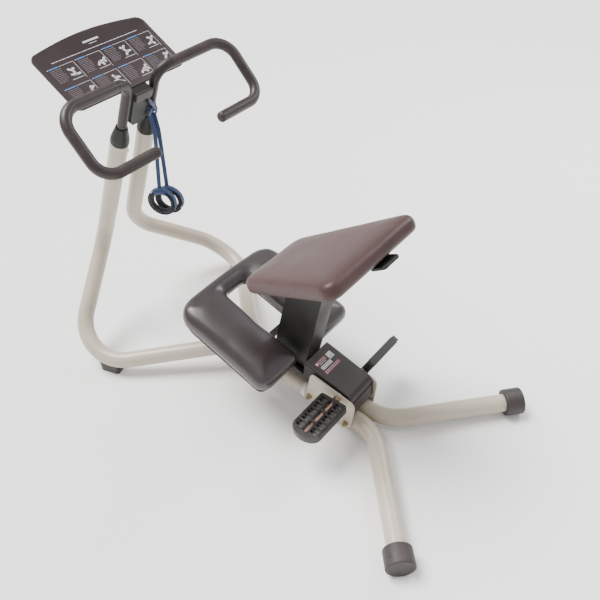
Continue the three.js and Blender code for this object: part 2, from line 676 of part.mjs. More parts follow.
function buildStrap() {
  const line = barLine(-1);
  const along = BAR_IN_COLUMN + 40;
  const at = v3(mirrored(COLUMN_TOP, -1)).addScaledVector(line, along - 6);
  const inner = BAR_R + GAP;
  const profile = [[inner, 0], [inner + STRAP_THICKNESS, 0], [inner + STRAP_THICKNESS, 24],
    [inner, 24], [inner, 0]];
  add('strap_hitch', turnedAlong(lathe(profile, 20), line, at), WEBBING);
  SIDES.forEach(([label, side]) => {
    const ring = RING_CENTRES[label];
    const top = [STRAP_TOP[0] + side * STRAND_HALF_PITCH, STRAP_TOP[1], STRAP_TOP[2]];
    const low = [ring[0], ring[1], ring[2] + RING_R + RING_TUBE_R + GAP + 1];
    const middle = [top[0], top[1] + 6, top[2] - 60];
    const half = STRAP_WIDTH / 2;
    const thin = STRAP_THICKNESS / 2;
    const section = roundedShape([[-half, -thin], [half, -thin], [half, thin], [-half, thin]], 1, 1);
    const strand = sweep(section, filletRoute([top, middle, low], [100], degrees(4)));
    add(`strap_strand_${label}`, strand, WEBBING);
    const loop = new THREE.TorusGeometry(RING_R, RING_TUBE_R, 10, 20).rotateY(degrees(90))
      .rotateZ(degrees(RING_YAW));
    add(`strap_ring_${label}`, loop, FOAM).position.set(...ring);
  });
}

// ---------- assembly ----------

SIDES.forEach(([label, side]) => {
  buildFrameTube(label, side);
  buildFrontFoot(label, side);
  buildRearCap(label, side);
  buildSidePlate(label, side);
  buildPlateBolt(label, side, 'front', PLATE_BOLTS[0]);
  buildPlateBolt(label, side, 'rear', PLATE_BOLTS[1]);
  buildStopCollar(label, side);
  buildSleeve(label, side);
  buildHandlebar(label, side);
  buildGrip(label, side);
  buildPedal(label, side);
});
buildConsole();
buildBoard();
buildShaft();
buildArm();
buildCover();
buildPost();
buildSeat();
buildKneePad();
buildStrap();

export default machine;
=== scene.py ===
import math
import random

import bmesh
import bpy
import numpy as np
from mathutils import Matrix, Vector


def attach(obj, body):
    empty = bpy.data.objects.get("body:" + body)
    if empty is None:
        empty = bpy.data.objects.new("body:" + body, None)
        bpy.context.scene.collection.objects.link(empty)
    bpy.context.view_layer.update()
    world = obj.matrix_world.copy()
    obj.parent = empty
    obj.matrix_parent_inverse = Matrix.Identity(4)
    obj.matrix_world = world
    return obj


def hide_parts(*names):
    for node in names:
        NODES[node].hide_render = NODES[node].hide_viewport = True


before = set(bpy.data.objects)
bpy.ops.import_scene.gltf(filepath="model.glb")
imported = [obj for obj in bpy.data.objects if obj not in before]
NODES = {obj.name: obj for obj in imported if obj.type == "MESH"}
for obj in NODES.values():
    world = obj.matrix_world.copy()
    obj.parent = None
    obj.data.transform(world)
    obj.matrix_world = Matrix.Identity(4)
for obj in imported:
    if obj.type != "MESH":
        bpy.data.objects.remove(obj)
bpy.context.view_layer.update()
SIDES = (("left", 1), ("right", -1))
scene = bpy.context.scene

# ---------- camera ----------

FOCAL_PER_WIDTH = 1.08007
SENSOR = 36.0
CAMERA_PLACE = (1.14252, 1.16789, 1.78702)
CAMERA_RIGHT = Vector((-0.62998, 0.77468, -0.05471))
CAMERA_DOWN = Vector((0.53884, 0.38529, -0.74913))


def make_camera():
    data = bpy.data.cameras.new("camera")
    data.sensor_width = SENSOR
    data.lens = SENSOR * FOCAL_PER_WIDTH
    camera = bpy.data.objects.new("camera", data)
    right = CAMERA_RIGHT.normalized()
    up = -CAMERA_DOWN.normalized()
    back = right.cross(up).normalized()
    turn = Matrix((right, up, back)).transposed().to_4x4()
    camera.matrix_world = Matrix.Translation(CAMERA_PLACE) @ turn
    scene.collection.objects.link(camera)
    scene.camera = camera


make_camera()

# ---------- mesh helpers ----------


def link(name, mesh):
    obj = bpy.data.objects.new(name, mesh)
    scene.collection.objects.link(obj)
    return obj


def mesh_object(name, verts, faces, smooth_angle=40):
    mesh = bpy.data.meshes.new(name)
    mesh.from_pydata([tuple(v) for v in verts], [], faces)
    mesh.validate()
    bm = bmesh.new()
    bm.from_mesh(mesh)
    bmesh.ops.recalc_face_normals(bm, faces=bm.faces)
    bm.to_mesh(mesh)
    bm.free()
    if smooth_angle:
        mesh.polygons.foreach_set("use_smooth", [True] * len(mesh.polygons))
        mesh.set_sharp_from_angle(angle=math.radians(smooth_angle))
    return link(name, mesh)


def settle(obj, body, slot, *replaced):
    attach(obj, body)
    if replaced:
        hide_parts(*replaced)
    return obj


def mirrored(p, side):
    return (p[0] * side, p[1], p[2])


def fillet_route(points, radii, step=math.radians(3)):
    """Places along straight runs that are joined by arcs."""
    p = [Vector(q) for q in points]
    route = [p[0]]
    for i in range(1, len(p) - 1):
        inward = (p[i] - p[i - 1]).normalized()
        outward = (p[i + 1] - p[i]).normalized()
        turn = inward.angle(outward)
        radius = radii[i - 1]
        start = p[i] - inward * radius * math.tan(turn / 2)
        axis = inward.cross(outward).normalized()
        centre = start + axis.cross(inward) * radius
        steps = max(2, math.ceil(turn / step))
        for k in range(steps + 1):
            spin = Matrix.Rotation(turn * k / steps, 3, axis)
            route.append(spin @ (start - centre) + centre)
    route.append(p[-1])
    return route


def densify(route, longest):
    """Adds places on long straight runs."""
    out = [route[0]]
    for a, b in zip(route, route[1:]):
        n = max(1, math.ceil((b - a).length / longest))
        out += [a.lerp(b, k / n) for k in range(1, n + 1)]
    return out


def frames_along(route, side_hint):
    """A side vector and a normal at each place, carried along with no twist."""
    n = len(route)
    tangents = [(route[min(i + 1, n - 1)] - route[max(i - 1, 0)]).normalized() for i in range(n)]
    side = Vector(side_hint)
    out = []
    for t in tangents:
        side = (side - t * side.dot(t)).normalized()
        out.append((side.copy(), t.cross(side).normalized(), t))
    return out


def circle_section(radius, n):
    return [(radius * math.cos(2 * math.pi * k / n), radius * math.sin(2 * math.pi * k / n))
            for k in range(n)]


def ring_faces(n, first, second):
    """Quads that join one closed ring of n vertices to another."""
    faces = []
    for k in range(n):
        j = (k + 1) % n
        faces.append((first + k, first + j, second + j, second + k))
    return faces


def tube_faces(n, count):
    """The sides and both end faces of a tube of count rings."""
    faces = []
    for i in range(count - 1):
        faces += ring_faces(n, i * n, (i + 1) * n)
    faces.append(tuple(range(n)))
    faces.append(tuple(range((count - 1) * n, count * n)))
    return faces


SQUARE = ((-1, -1), (1, -1), (1, 1), (-1, 1))
BOX_FACES = ((0, 1, 2, 3), (4, 5, 6, 7), (0, 1, 5, 4), (1, 2, 6, 5), (2, 3, 7, 6), (3, 0, 4, 7))


def sweep(name, section, route, side_hint=(1, 0, 0.01), scales=None, **options):
    """A closed tube of one section; scales widens or narrows it place by place."""
    verts = []
    for i, (place, (side, normal, _)) in enumerate(zip(route, frames_along(route, side_hint))):
        s = scales[i] if scales else 1
        verts += [place + side * a * s + normal * b * s for a, b in section]
    return mesh_object(name, verts, tube_faces(len(section), len(route)), **options)


def basis(direction):
    z = Vector(direction).normalized()
    x = Vector((0, 0, 1)).cross(z)
    x = x.normalized() if x.length > 1e-6 else Vector((1, 0, 0))
    return x, z.cross(x), z


def lathe(name, profile, base, direction, segments=64, floor=None, **options):
    """A turned solid: profile is (radius, distance along), and may start and end on the axis."""
    x, y, z = basis(direction)
    base = Vector(base)
    verts = []
    rings = []
    for radius, along in profile:
        if radius < 1e-7:
            rings.append([len(verts)])
            verts.append(base + z * along)
            continue
        rings.append(list(range(len(verts), len(verts) + segments)))
        for k in range(segments):
            a = 2 * math.pi * k / segments
            verts.append(base + z * along + (x * math.cos(a) + y * math.sin(a)) * radius)
    closed = rings[0] if len(rings[0]) > 1 and len(rings[-1]) > 1 else None
    if floor is not None:
        verts = [Vector((v.x, v.y, max(v.z, floor))) for v in verts]
    faces = []
    pairs = list(zip(rings, rings[1:])) + ([(rings[-1], closed)] if closed else [])
    for low, high in pairs:
        for k in range(segments):
            j = (k + 1) % segments
            if len(low) == 1:
                faces.append((low[0], high[k], high[j]))
            elif len(high) == 1:
                faces.append((low[k], low[j], high[0]))
            else:
                faces.append((low[k], low[j], high[j], high[k]))
    return mesh_object(name, verts, faces, **options)


def rounded_corner(points, radius, steps=5):
    """A profile whose inner corners are rounded, as (radius, along) pairs."""
    out = [points[0]]
    for before, here, after in zip(points, points[1:], points[2:]):
        h = Vector(here)
        a = (Vector(before) - h)
        b = (Vector(after) - h)
        r = min(radius, a.length / 2.1, b.length / 2.1)
        start = h + a.normalized() * r
        end = h + b.normalized() * r
        for k in range(steps + 1):
            t = k / steps
            q = start * (1 - t) ** 2 + h * 2 * t * (1 - t) + end * t ** 2
            out.append((q.x, q.y))
    out.append(points[-1])
    return out


class Prisms:
    """Thin printed shapes gathered into one mesh, placed by a function of x, y, z."""

    def __init__(self, place):
        self.place = place
        self.verts = []
        self.faces = []

    def add(self, outline, low, high):
        n = len(outline)
        first = len(self.verts)
        self.verts += [self.place(x, y, low) for x, y in outline]
        self.verts += [self.place(x, y, high) for x, y in outline]
        self.faces.append(tuple(first + k for k in range(n)))
        self.faces.append(tuple(first + n + k for k in range(n)))
        for k in range(n):
            j = (k + 1) % n
            self.faces.append((first + k, first + j, first + n + j, first + n + k))

    def bar(self, x, y, width, height, low, high):
        self.add([(x, y), (x + width, y), (x + width, y + height), (x, y + height)], low, high)

    def disc(self, x, y, radius, low, high, n=14):
        self.add([(x + a, y + b) for a, b in circle_section(radius, n)], low, high)

    def limb(self, a, b, width, low, high):
        """A stroke with round ends."""
        ax, ay = a
        bx, by = b
        turn = math.atan2(by - ay, bx - ax)
        ends = []
        for (cx, cy), start in (((bx, by), -90), ((ax, ay), 90)):
            for k in range(7):
                t = turn + math.radians(start + 30 * k)
                ends.append((cx + width / 2 * math.cos(t), cy + width / 2 * math.sin(t)))
        self.add(ends, low, high)

    def build(self, name):
        return mesh_object(name, self.verts, self.faces, smooth_angle=0)


# ---------- material helpers ----------


def node_material(name):
    material = bpy.data.materials.new(name)
    material.use_nodes = True
    tree = material.node_tree
    shader = tree.nodes["Principled BSDF"]
    return material, tree, shader


def noise(tree, scale, detail=4, stretch=(1, 1, 1), roughness=0.55):
    coords = tree.nodes.new("ShaderNodeTexCoord")
    mapping = tree.nodes.new("ShaderNodeMapping")
    mapping.inputs["Scale"].default_value = stretch
    texture = tree.nodes.new("ShaderNodeTexNoise")
    texture.inputs["Scale"].default_value = scale
    texture.inputs["Detail"].default_value = detail
    texture.inputs["Roughness"].default_value = roughness
    tree.links.new(coords.outputs["Object"], mapping.inputs["Vector"])
    tree.links.new(mapping.outputs["Vector"], texture.inputs["Vector"])
    return texture.outputs["Fac"]


def cells(tree, scale, feature="DISTANCE_TO_EDGE"):
    coords = tree.nodes.new("ShaderNodeTexCoord")
    texture = tree.nodes.new("ShaderNodeTexVoronoi")
    texture.feature = feature
    texture.inputs["Scale"].default_value = scale
    tree.links.new(coords.outputs["Object"], texture.inputs["Vector"])
    return texture.outputs["Distance"]


def ramp(tree, source, stops):
    node = tree.nodes.new("ShaderNodeValToRGB")
    elements = node.color_ramp.elements
    for i, (at, color) in enumerate(stops):
        element = elements[i] if i < 2 else elements.new(at)
        element.position = at
        element.color = (*color, 1)
    tree.links.new(source, node.inputs["Fac"])
    return node.outputs["Color"]


def remap(tree, source, low, high, from_low=0.3, from_high=0.7):
    node = tree.nodes.new("ShaderNodeMapRange")
    node.inputs["From Min"].default_value = from_low
    node.inputs["From Max"].default_value = from_high
    node.inputs["To Min"].default_value = low
    node.inputs["To Max"].default_value = high
    tree.links.new(source, node.inputs["Value"])
    return node.outputs["Result"]


def bump(tree, shader, layers):
    """Layers of (height, strength, distance in metres), the first one coarsest."""
    last = None
    for height, strength, distance in layers:
        node = tree.nodes.new("ShaderNodeBump")
        node.inputs["Strength"].default_value = strength
        node.inputs["Distance"].default_value = distance
        tree.links.new(height, node.inputs["Height"])
        if last is not None:
            tree.links.new(last, node.inputs["Normal"])
        last = node.outputs["Normal"]
    tree.links.new(last, shader.inputs["Normal"])


def surface(name, colors, rough, patch_scale=9, grain=None, metallic=0.0, coat=0.0, sheen=0.0,
            specular=0.5):
    """A finish whose colour and roughness wander a little, with layers of fine relief."""
    material, tree, shader = node_material(name)
    patches = noise(tree, patch_scale, 6)
    fine = noise(tree, patch_scale * 14, 3)
    mixed = tree.nodes.new("ShaderNodeMath")
    mixed.operation = "MULTIPLY_ADD"
    mixed.inputs[1].default_value = 0.3
    tree.links.new(fine, mixed.inputs[0])
    scaled = remap(tree, patches, 0.0, 0.7, 0.25, 0.75)
    tree.links.new(scaled, mixed.inputs[2])
    stops = [(i / max(1, len(colors) - 1), c) for i, c in enumerate(colors)]
    tree.links.new(ramp(tree, mixed.outputs[0], stops), shader.inputs["Base Color"])
    tree.links.new(remap(tree, patches, *rough), shader.inputs["Roughness"])
    shader.inputs["Metallic"].default_value = metallic
    shader.inputs["Coat Weight"].default_value = coat
    shader.inputs["Coat Roughness"].default_value = 0.25
    shader.inputs["Sheen Weight"].default_value = sheen
    shader.inputs["Specular IOR Level"].default_value = specular
    layers = []
    for kind, scale, strength, distance in grain or []:
        source = cells(tree, scale) if kind == "cells" else noise(tree, scale, 3)
        layers.append((source, strength, distance))
    if layers:
        bump(tree, shader, layers)
    return material


PAINT = surface("cream_paint", [(0.38, 0.32, 0.245), (0.46, 0.40, 0.32), (0.52, 0.465, 0.385)],
                (0.30, 0.42), 5, [("noise", 60, 0.05, 0.001), ("noise", 700, 0.12, 0.0002)],
                coat=0.15)
DARK = surface("dark_paint",
               [(0.006, 0.006, 0.005), (0.010, 0.010, 0.008), (0.016, 0.014, 0.012)],
               (0.40, 0.56), 12, [("noise", 900, 0.25, 0.0002)], specular=0.35)
BAR = surface("bar_paint", [(0.013, 0.009, 0.008), (0.022, 0.016, 0.014)], (0.34, 0.5), 14,
              [("noise", 900, 0.25, 0.0002)], specular=0.4)
COVER = surface("cover_plastic", [(0.020, 0.014, 0.014), (0.032, 0.023, 0.022)],
                (0.36, 0.50), 14, [("cells", 1400, 0.25, 0.00015)], specular=0.4)
GRIP = surface("grip_foam", [(0.016, 0.010, 0.010), (0.027, 0.018, 0.017), (0.040, 0.027, 0.026)],
               (0.36, 0.54), 16, [("noise", 90, 0.12, 0.0012), ("noise", 1300, 0.3, 0.0003)],
               specular=0.45)
RUBBER = surface("foot_rubber",
                 [(0.020, 0.014, 0.014), (0.032, 0.024, 0.024), (0.055, 0.044, 0.043)],
                 (0.48, 0.68), 20, [("noise", 70, 0.1, 0.001), ("noise", 800, 0.3, 0.0003)])
VINYL = surface("seat_vinyl",
                [(0.034, 0.015, 0.015), (0.054, 0.026, 0.025), (0.074, 0.040, 0.038)],
                (0.38, 0.54), 6, [("noise", 28, 0.10, 0.003), ("cells", 620, 0.35, 0.00025)],
                specular=0.35, sheen=0.02)
PAD_VINYL = surface("pad_vinyl",
                    [(0.018, 0.011, 0.013), (0.028, 0.019, 0.021), (0.038, 0.028, 0.030)],
                    (0.30, 0.42), 5, [("noise", 24, 0.10, 0.003), ("cells", 700, 0.28, 0.0002)],
                    coat=0.2, specular=0.6)
PEDAL = surface("pedal_plastic", [(0.010, 0.009, 0.008), (0.020, 0.018, 0.016)], (0.34, 0.5), 25,
                [("noise", 1100, 0.3, 0.0002)])
NYLON = surface("white_nylon", [(0.62, 0.60, 0.55), (0.74, 0.72, 0.68)], (0.4, 0.55), 30,
                [("noise", 500, 0.1, 0.0002)])
BRASS = surface("brass_plate", [(0.30, 0.24, 0.15), (0.50, 0.42, 0.28)], (0.24, 0.42), 60,
                [("noise", 900, 0.15, 0.0001)], metallic=1.0)
SPINDLE = surface("spindle_steel", [(0.40, 0.22, 0.18), (0.56, 0.34, 0.28)], (0.22, 0.38), 60,
                  [("noise", 700, 0.12, 0.0001)], metallic=0.85)
PLY = surface("stained_plywood", [(0.016, 0.011, 0.010), (0.032, 0.022, 0.020)], (0.6, 0.8), 18,
              [("noise", 260, 0.4, 0.0005)])
BOARD = surface("board_print", [(0.024, 0.013, 0.015), (0.034, 0.020, 0.023)], (0.36, 0.48), 7,
                [("noise", 500, 0.06, 0.0002)], specular=0.4)
WHITE_INK = surface("white_ink", [(0.50, 0.48, 0.50), (0.64, 0.62, 0.64)], (0.45, 0.6), 60)
GREY_INK = surface("grey_ink", [(0.15, 0.13, 0.145), (0.22, 0.195, 0.21)], (0.45, 0.6), 60)
BLUE_INK = surface("blue_ink", [(0.04, 0.15, 0.42), (0.08, 0.24, 0.56)], (0.45, 0.6), 60)
RED_INK = surface("red_ink", [(0.10, 0.006, 0.008), (0.16, 0.010, 0.012)], (0.4, 0.55), 60)
# Black for the cover label's print, and also painted shade on the black panel at the arm cover's
# rear end.
BLACK_INK_AND_SHADE = surface("black_ink_and_painted_shade", [(0.012, 0.008, 0.009), (0.03, 0.02, 0.022)], (0.4, 0.55), 60)
FOAM = surface("ring_foam", [(0.008, 0.0075, 0.009), (0.018, 0.016, 0.019)], (0.8, 0.95), 40,
               [("cells", 900, 0.5, 0.0006)], sheen=0.2)


def webbing_material():
    """Woven nylon: ribs across the strap, and finer threads along it."""
    material, tree, shader = node_material("webbing")
    coords = tree.nodes.new("ShaderNodeTexCoord")
    heights = []
    for direction, scale in (("Z", 330), ("DIAGONAL", 260)):
        wave = tree.nodes.new("ShaderNodeTexWave")
        wave.bands_direction = direction
        wave.inputs["Scale"].default_value = scale
        wave.inputs["Distortion"].default_value = 1.2
        tree.links.new(coords.outputs["Object"], wave.inputs["Vector"])
        heights.append(wave.outputs["Fac"])
    shades = [(0.0, (0.010, 0.024, 0.075)), (1.0, (0.030, 0.062, 0.175))]
    tree.links.new(ramp(tree, heights[1], shades), shader.inputs["Base Color"])
    shader.inputs["Roughness"].default_value = 0.78
    shader.inputs["Sheen Weight"].default_value = 0.25
    bump(tree, shader, [(heights[0], 0.5, 0.0005), (heights[1], 0.35, 0.0004)])
    return material


WEBBING = webbing_material()


def paint(obj, *materials):
    obj.data.materials.clear()
    for material in materials:
        obj.data.materials.append(material)
    return obj


def dress(name, material, bevel=0.0008, segments=2):
    """A better material and softened edges on a CAD node that stays as it is."""
    obj = NODES[name]
    if not obj.material_slots:
        raise ValueError(f"{name} has no material slot")
    obj.material_slots[0].link = "OBJECT"
    obj.material_slots[0].material = material
    if bevel:
        modifier = obj.modifiers.new("soft_edges", "BEVEL")
        modifier.width = bevel
        modifier.segments = segments
        modifier.limit_method = "ANGLE"
        modifier.angle_limit = math.radians(35)
        modifier.harden_normals = False
    return obj


# ---------- stretch strap: two hanging strands ----------

STRAP_TOP = Vector((-0.050, -0.4825, 0.8846))
STRAND_HALF_PITCH = 0.008
STRAND_BEND = Vector((0, 0.006, -0.060))
STRAND_BEND_RADIUS = 0.1
STRAND_STEP = 0.01
STRAND_WIDTH_WAY = (-0.66, 0.75, 0)
STRAP_WIDTH = 0.014
STRAP_THICKNESS = 0.0022
RING_R = 0.041
RING_TUBE_R = 0.0125
RING_YAW = math.radians(25)
RING_AXIS = Vector((math.cos(RING_YAW), math.sin(RING_YAW), 0))
RING_CENTRES = {"left": Vector((-0.021, -0.493, 0.562)), "right": Vector((-0.051, -0.489, 0.556))}
STRAND_TO_RING_GAP = 0.0013
FOAM_R = RING_TUBE_R - 0.0026
FOAM_SQUASH = 0.84
BAND_R = RING_R + RING_TUBE_R - 0.0024
BAND_EXTRA_WIDTH = 0.005
STITCHED_HALF_ANGLE = math.radians(30)
STITCHED_STEPS = 15
STITCHED_SIDES = 24
STITCHED_R = 0.0120


def ring_spoke(angle):
    """Outward direction in a ring's plane; the angle counts from the horizontal."""
    flat = Vector((-math.sin(RING_YAW), math.cos(RING_YAW), 0))
    return flat * math.cos(angle) + Vector((0, 0, 1)) * math.sin(angle)


def closed_loop(name, centre, section, radius_at, count=64, **options):
    """A section carried once round a ring; radius_at gives the radius and the section's scale."""
    verts = []
    for k in range(count):
        angle = 2 * math.pi * k / count + math.pi / 2
        spoke = ring_spoke(angle)
        radius, scale = radius_at(angle)
        verts += [centre + RING_AXIS * (u * scale) + spoke * (radius + v * scale)
                  for u, v in section]
    n = len(section)
    faces = []
    for i in range(count):
        faces += ring_faces(n, i * n, (i + 1) % count * n)
    return mesh_object(name, verts, faces, **options)


def strap_section(width, thickness):
    """A webbing section with rounded selvedges."""
    w = width / 2
    t = thickness / 2
    return [(-w + t, -t), (-w / 2, -t * 1.05), (0, -t), (w / 2, -t * 1.05), (w - t, -t), (w, 0),
            (w - t, t), (w / 2, t * 1.05), (0, t), (-w / 2, t * 1.05), (-w + t, t), (-w, 0)]


def path_length(route):
    return sum((b - a).length for a, b in zip(route, route[1:]))


def make_strand(label, side, pieces):
    """Flat webbing from the hitch to a ring, hanging almost straight."""
    ring = RING_CENTRES[label]
    top = STRAP_TOP + Vector((side * STRAND_HALF_PITCH, 0, 0))
    middle = top + STRAND_BEND
    low = ring + Vector((0, 0, RING_R + RING_TUBE_R + STRAND_TO_RING_GAP))
    bent = fillet_route([top, middle, low], [STRAND_BEND_RADIUS], math.radians(1))
    route = densify(bent, STRAND_STEP)
    strand = sweep(f"strap_strand_{label}_webbing", strap_section(STRAP_WIDTH, STRAP_THICKNESS),
                   route, side_hint=STRAND_WIDTH_WAY, smooth_angle=60)
    paint(strand, WEBBING)
    settle(strand, "frame", "webbing", f"strap_strand_{label}")


def make_stitched_wrap(label):
    """Webbing stitched round the foam at the top of a ring, where the strand joins it."""
    centre = RING_CENTRES[label]
    turns = [2 * math.pi * k / STITCHED_SIDES for k in range(STITCHED_SIDES)]
    verts = []
    for i in range(STITCHED_STEPS):
        along = 2 * STITCHED_HALF_ANGLE * i / (STITCHED_STEPS - 1) - STITCHED_HALF_ANGLE
        spoke = ring_spoke(math.pi / 2 + along)
        verts += [centre + spoke * (RING_R + 0.0006 + math.sin(t) * (STITCHED_R + 0.0002))
                  + RING_AXIS * (math.cos(t) * STITCHED_R) for t in turns]
    wrap = mesh_object(f"strap_ring_{label}_keepers", verts,
                       tube_faces(STITCHED_SIDES, STITCHED_STEPS), smooth_angle=50)
    paint(wrap, WEBBING)
    settle(wrap, "frame", "webbing")
    return wrap


def make_ring(label):
    """A padded hand loop: foam, a band of webbing round it, and a stitched wrap at its top."""
    centre = RING_CENTRES[label]
    foam_section = [(a, b * FOAM_SQUASH) for a, b in circle_section(FOAM_R, 20)]
    foam = closed_loop(f"strap_ring_{label}_foam", centre, foam_section,
                       lambda angle: (RING_R - 0.0010, 1 + 0.05 * math.sin(5 * angle)),
                       smooth_angle=80)
    paint(foam, FOAM)
    settle(foam, "frame", "ring_foam", f"strap_ring_{label}")
    band = closed_loop(f"strap_ring_{label}_webbing", centre,
                       strap_section(STRAP_WIDTH + BAND_EXTRA_WIDTH, STRAP_THICKNESS),
                       lambda angle: (BAND_R + 0.001 * max(0.0, math.sin(angle)) ** 12, 1.0),
                       smooth_angle=60)
    paint(band, WEBBING)
    settle(band, "frame", "webbing")
    return [foam, band, make_stitched_wrap(label)]


BAR_R = 0.016
COLUMN_TOP = (0.0563, -0.5425, 0.812)
BAR_CORNER = (0.054, -0.417, 1.042)
HITCH_ALONG_BAR = 0.094
HITCH_TURNS = (0.0066, 0.0196)
HITCH_WIDTH = 0.0125
HITCH_THICKNESS = 0.0024
HITCH_STAND = 0.0018
HITCH_STEPS = 48
BIGHT_WIDTH = 0.011
BIGHT_STAND = 0.0062
BIGHT_STEPS = 16
BIGHT_SPREAD = 0.0135
BIGHT_TOP = 0.030
BIGHT_DROP = 0.033
FOLD_WIDTH = 0.027
FOLD_THICKNESS = 0.0024
FOLD_WIDTH_WAY = (0.75, 0.55, 0.3)
# Places on the fold: across the bar, along it from the hitch, and clear of its surface.
FOLD_PLACES = ((0.036, 0.078, 0.0040), (0.030, 0.070, 0.0062), (0.022, 0.058, 0.0080),
               (0.013, 0.046, 0.0086), (0.005, 0.036, 0.0084), (0.000, 0.026, 0.0080),
               (-0.002, 0.014, 0.0078))


def bar_line(side):
    return (Vector(mirrored(BAR_CORNER, side)) - Vector(mirrored(COLUMN_TOP, side))).normalized()


def make_hitch():
    """The strap is hitched round the right bar: two turns, a bight over them, a spare fold."""
    line = bar_line(-1)
    base = Vector(mirrored(COLUMN_TOP, -1)) + line * HITCH_ALONG_BAR
    x, y, _ = basis(line)
    verts = []
    faces = []
    section = strap_section(HITCH_WIDTH, HITCH_THICKNESS)
    n = len(section)
    for turn, along in enumerate(HITCH_TURNS):
        first = len(verts)
        for k in range(HITCH_STEPS):
            a = 2 * math.pi * k / HITCH_STEPS
            out = x * math.cos(a) + y * math.sin(a)
            wobble = 0.0006 * math.sin(3 * a + turn)
            for u, v in section:
                verts.append(base + line * (along + u + wobble) + out * (BAR_R + HITCH_STAND + v))
        for i in range(HITCH_STEPS):
            faces += ring_faces(n, first + i * n, first + (i + 1) % HITCH_STEPS * n)
    hitch = mesh_object("strap_hitch_webbing", verts, faces, smooth_angle=60)
    paint(hitch, WEBBING)
    settle(hitch, "frame", "webbing", "strap_hitch")
    rear = Vector((0, 1, 0)) - line * line.y
    rear.normalize()
    return [hitch, make_bight(base, line, rear), make_wrap(base, line, rear)]


def make_bight(base, line, rear):
    """An arch of webbing laid over the hitch's turns, on the bar's rear side."""
    route = []
    for k in range(BIGHT_STEPS + 1):
        t = k / BIGHT_STEPS
        across = BIGHT_SPREAD * math.sin(math.pi * (t - 0.5)) + 0.005
        height = BIGHT_TOP - BIGHT_DROP * abs(2 * t - 1) ** 2.2
        route.append(base + line * height + rear * (BAR_R + BIGHT_STAND) + Vector((across, 0, 0)))
    bight = sweep("strap_bight_webbing", strap_section(BIGHT_WIDTH, STRAP_THICKNESS), route,
                  side_hint=tuple(line), smooth_angle=60)
    paint(bight, WEBBING)
    settle(bight, "frame", "webbing")
    return bight


def smoothed(route, steps):
    """A curve through every place of a route, with steps places to each stretch."""
    out = []
    for i in range(len(route) - 1):
        p, q = route[i], route[i + 1]
        before = route[max(i - 1, 0)]
        after = route[min(i + 2, len(route) - 1)]
        for k in range(steps):
            t = k / steps
            out.append(0.5 * ((2 * p) + (q - before) * t
                              + (2 * before - 5 * p + 4 * q - after) * t ** 2
                              + (3 * p - before - 3 * q + after) * t ** 3))
    out.append(route[-1])
    return out


def make_wrap(base, line, rear):
    """The strap's spare fold: it comes over the console's edge and tucks in above the hitch."""
    route = [base + line * along + rear * (BAR_R + stand) + Vector((across, 0, 0))
             for across, along, stand in FOLD_PLACES]
    wrap = sweep("strap_wrap_webbing", strap_section(FOLD_WIDTH, FOLD_THICKNESS),
                 smoothed(route, 5), side_hint=FOLD_WIDTH_WAY, smooth_angle=60)
    paint(wrap, WEBBING)
    settle(wrap, "frame", "webbing")
    return wrap


hitch_pieces = make_hitch()
make_strand("left", 1, make_ring("left") + hitch_pieces)
make_strand("right", -1, make_ring("right"))

# ---------- frame ----------

TUBE_R = 0.03015
COLUMN_FOOT = (0.069, -0.796, 0.340)
FLOOR_CORNER = (0.455, -0.615, 0.035)
SPINE_FRONT = (0.0305, -0.131, 0.109)
SPINE_REAR = (0.0305, 0.457, 0.043)
LEG_END = (0.3655, 0.770, 0.043)
FRAME_RADII = (0.139, 0.165, 0.200, 0.166)


def make_frame_tube(label, side):
    points = [mirrored(p, side) for p in
              (COLUMN_TOP, COLUMN_FOOT, FLOOR_CORNER, SPINE_FRONT, SPINE_REAR, LEG_END)]
    route = fillet_route(points, FRAME_RADII, math.radians(4))
    tube = sweep(f"frame_tube_{label}_smooth", circle_section(TUBE_R, 48), route,
                 side_hint=(0.2, 1, 0.1))
    paint(tube, PAINT)
    settle(tube, "frame", "frame_paint", f"frame_tube_{label}")


CAP_R = 0.0445
CAP_LENGTH = 0.061
CAP_CENTRE_Z = 0.0435
CAP_WALL = 0.009


def make_rear_cap(label, side):
    end = Vector(mirrored(LEG_END, side))
    direction = (end - Vector(mirrored(SPINE_REAR, side))).normalized()
    tip = end + direction * CAP_WALL
    tip.z = CAP_CENTRE_Z
    face_step = 0.0015
    rim = CAP_R - 0.010
    profile = [(0, face_step), (rim - 0.002, face_step), (rim, 0), (CAP_R, 0),
               (CAP_R - 0.0002, 0.020), (CAP_R - 0.0006, 0.022), (CAP_R - 0.0002, 0.024),
               (CAP_R - 0.0006, CAP_LENGTH), (TUBE_R + 0.0005, CAP_LENGTH),
               (TUBE_R + 0.0005, CAP_LENGTH - 0.006), (0, CAP_LENGTH - 0.006)]
    cap = lathe(f"rear_cap_{label}_rubber", rounded_corner(profile, 0.006), tip, -direction, 72,
                floor=0.0, smooth_angle=50)
    paint(cap, RUBBER)
    settle(cap, "frame", "foot_rubber", f"rear_cap_{label}")


SLEEVE_LENGTH = 0.070
SLEEVE_LIFT = 0.0018


def make_sleeve(label, side):
    line = bar_line(side)
    base = Vector(mirrored(COLUMN_TOP, side)) + line * SLEEVE_LIFT
    wide = TUBE_R + 0.0008
    profile = [(BAR_R + 0.0004, 0), (wide, 0), (wide, 0.008), (wide - 0.0012, 0.0095),
               (wide, 0.011), (wide - 0.0012, 0.022), (BAR_R + 0.0030, SLEEVE_LENGTH),
               (BAR_R + 0.0004, SLEEVE_LENGTH), (BAR_R + 0.0004, 0)]
    sleeve = lathe(f"column_sleeve_{label}_moulded", rounded_corner(profile, 0.003)[:-1], base,
                   line, 56, smooth_angle=60)
    paint(sleeve, DARK)
    settle(sleeve, "frame", "dark_paint", f"column_sleeve_{label}")


# ---------- handlebars ----------

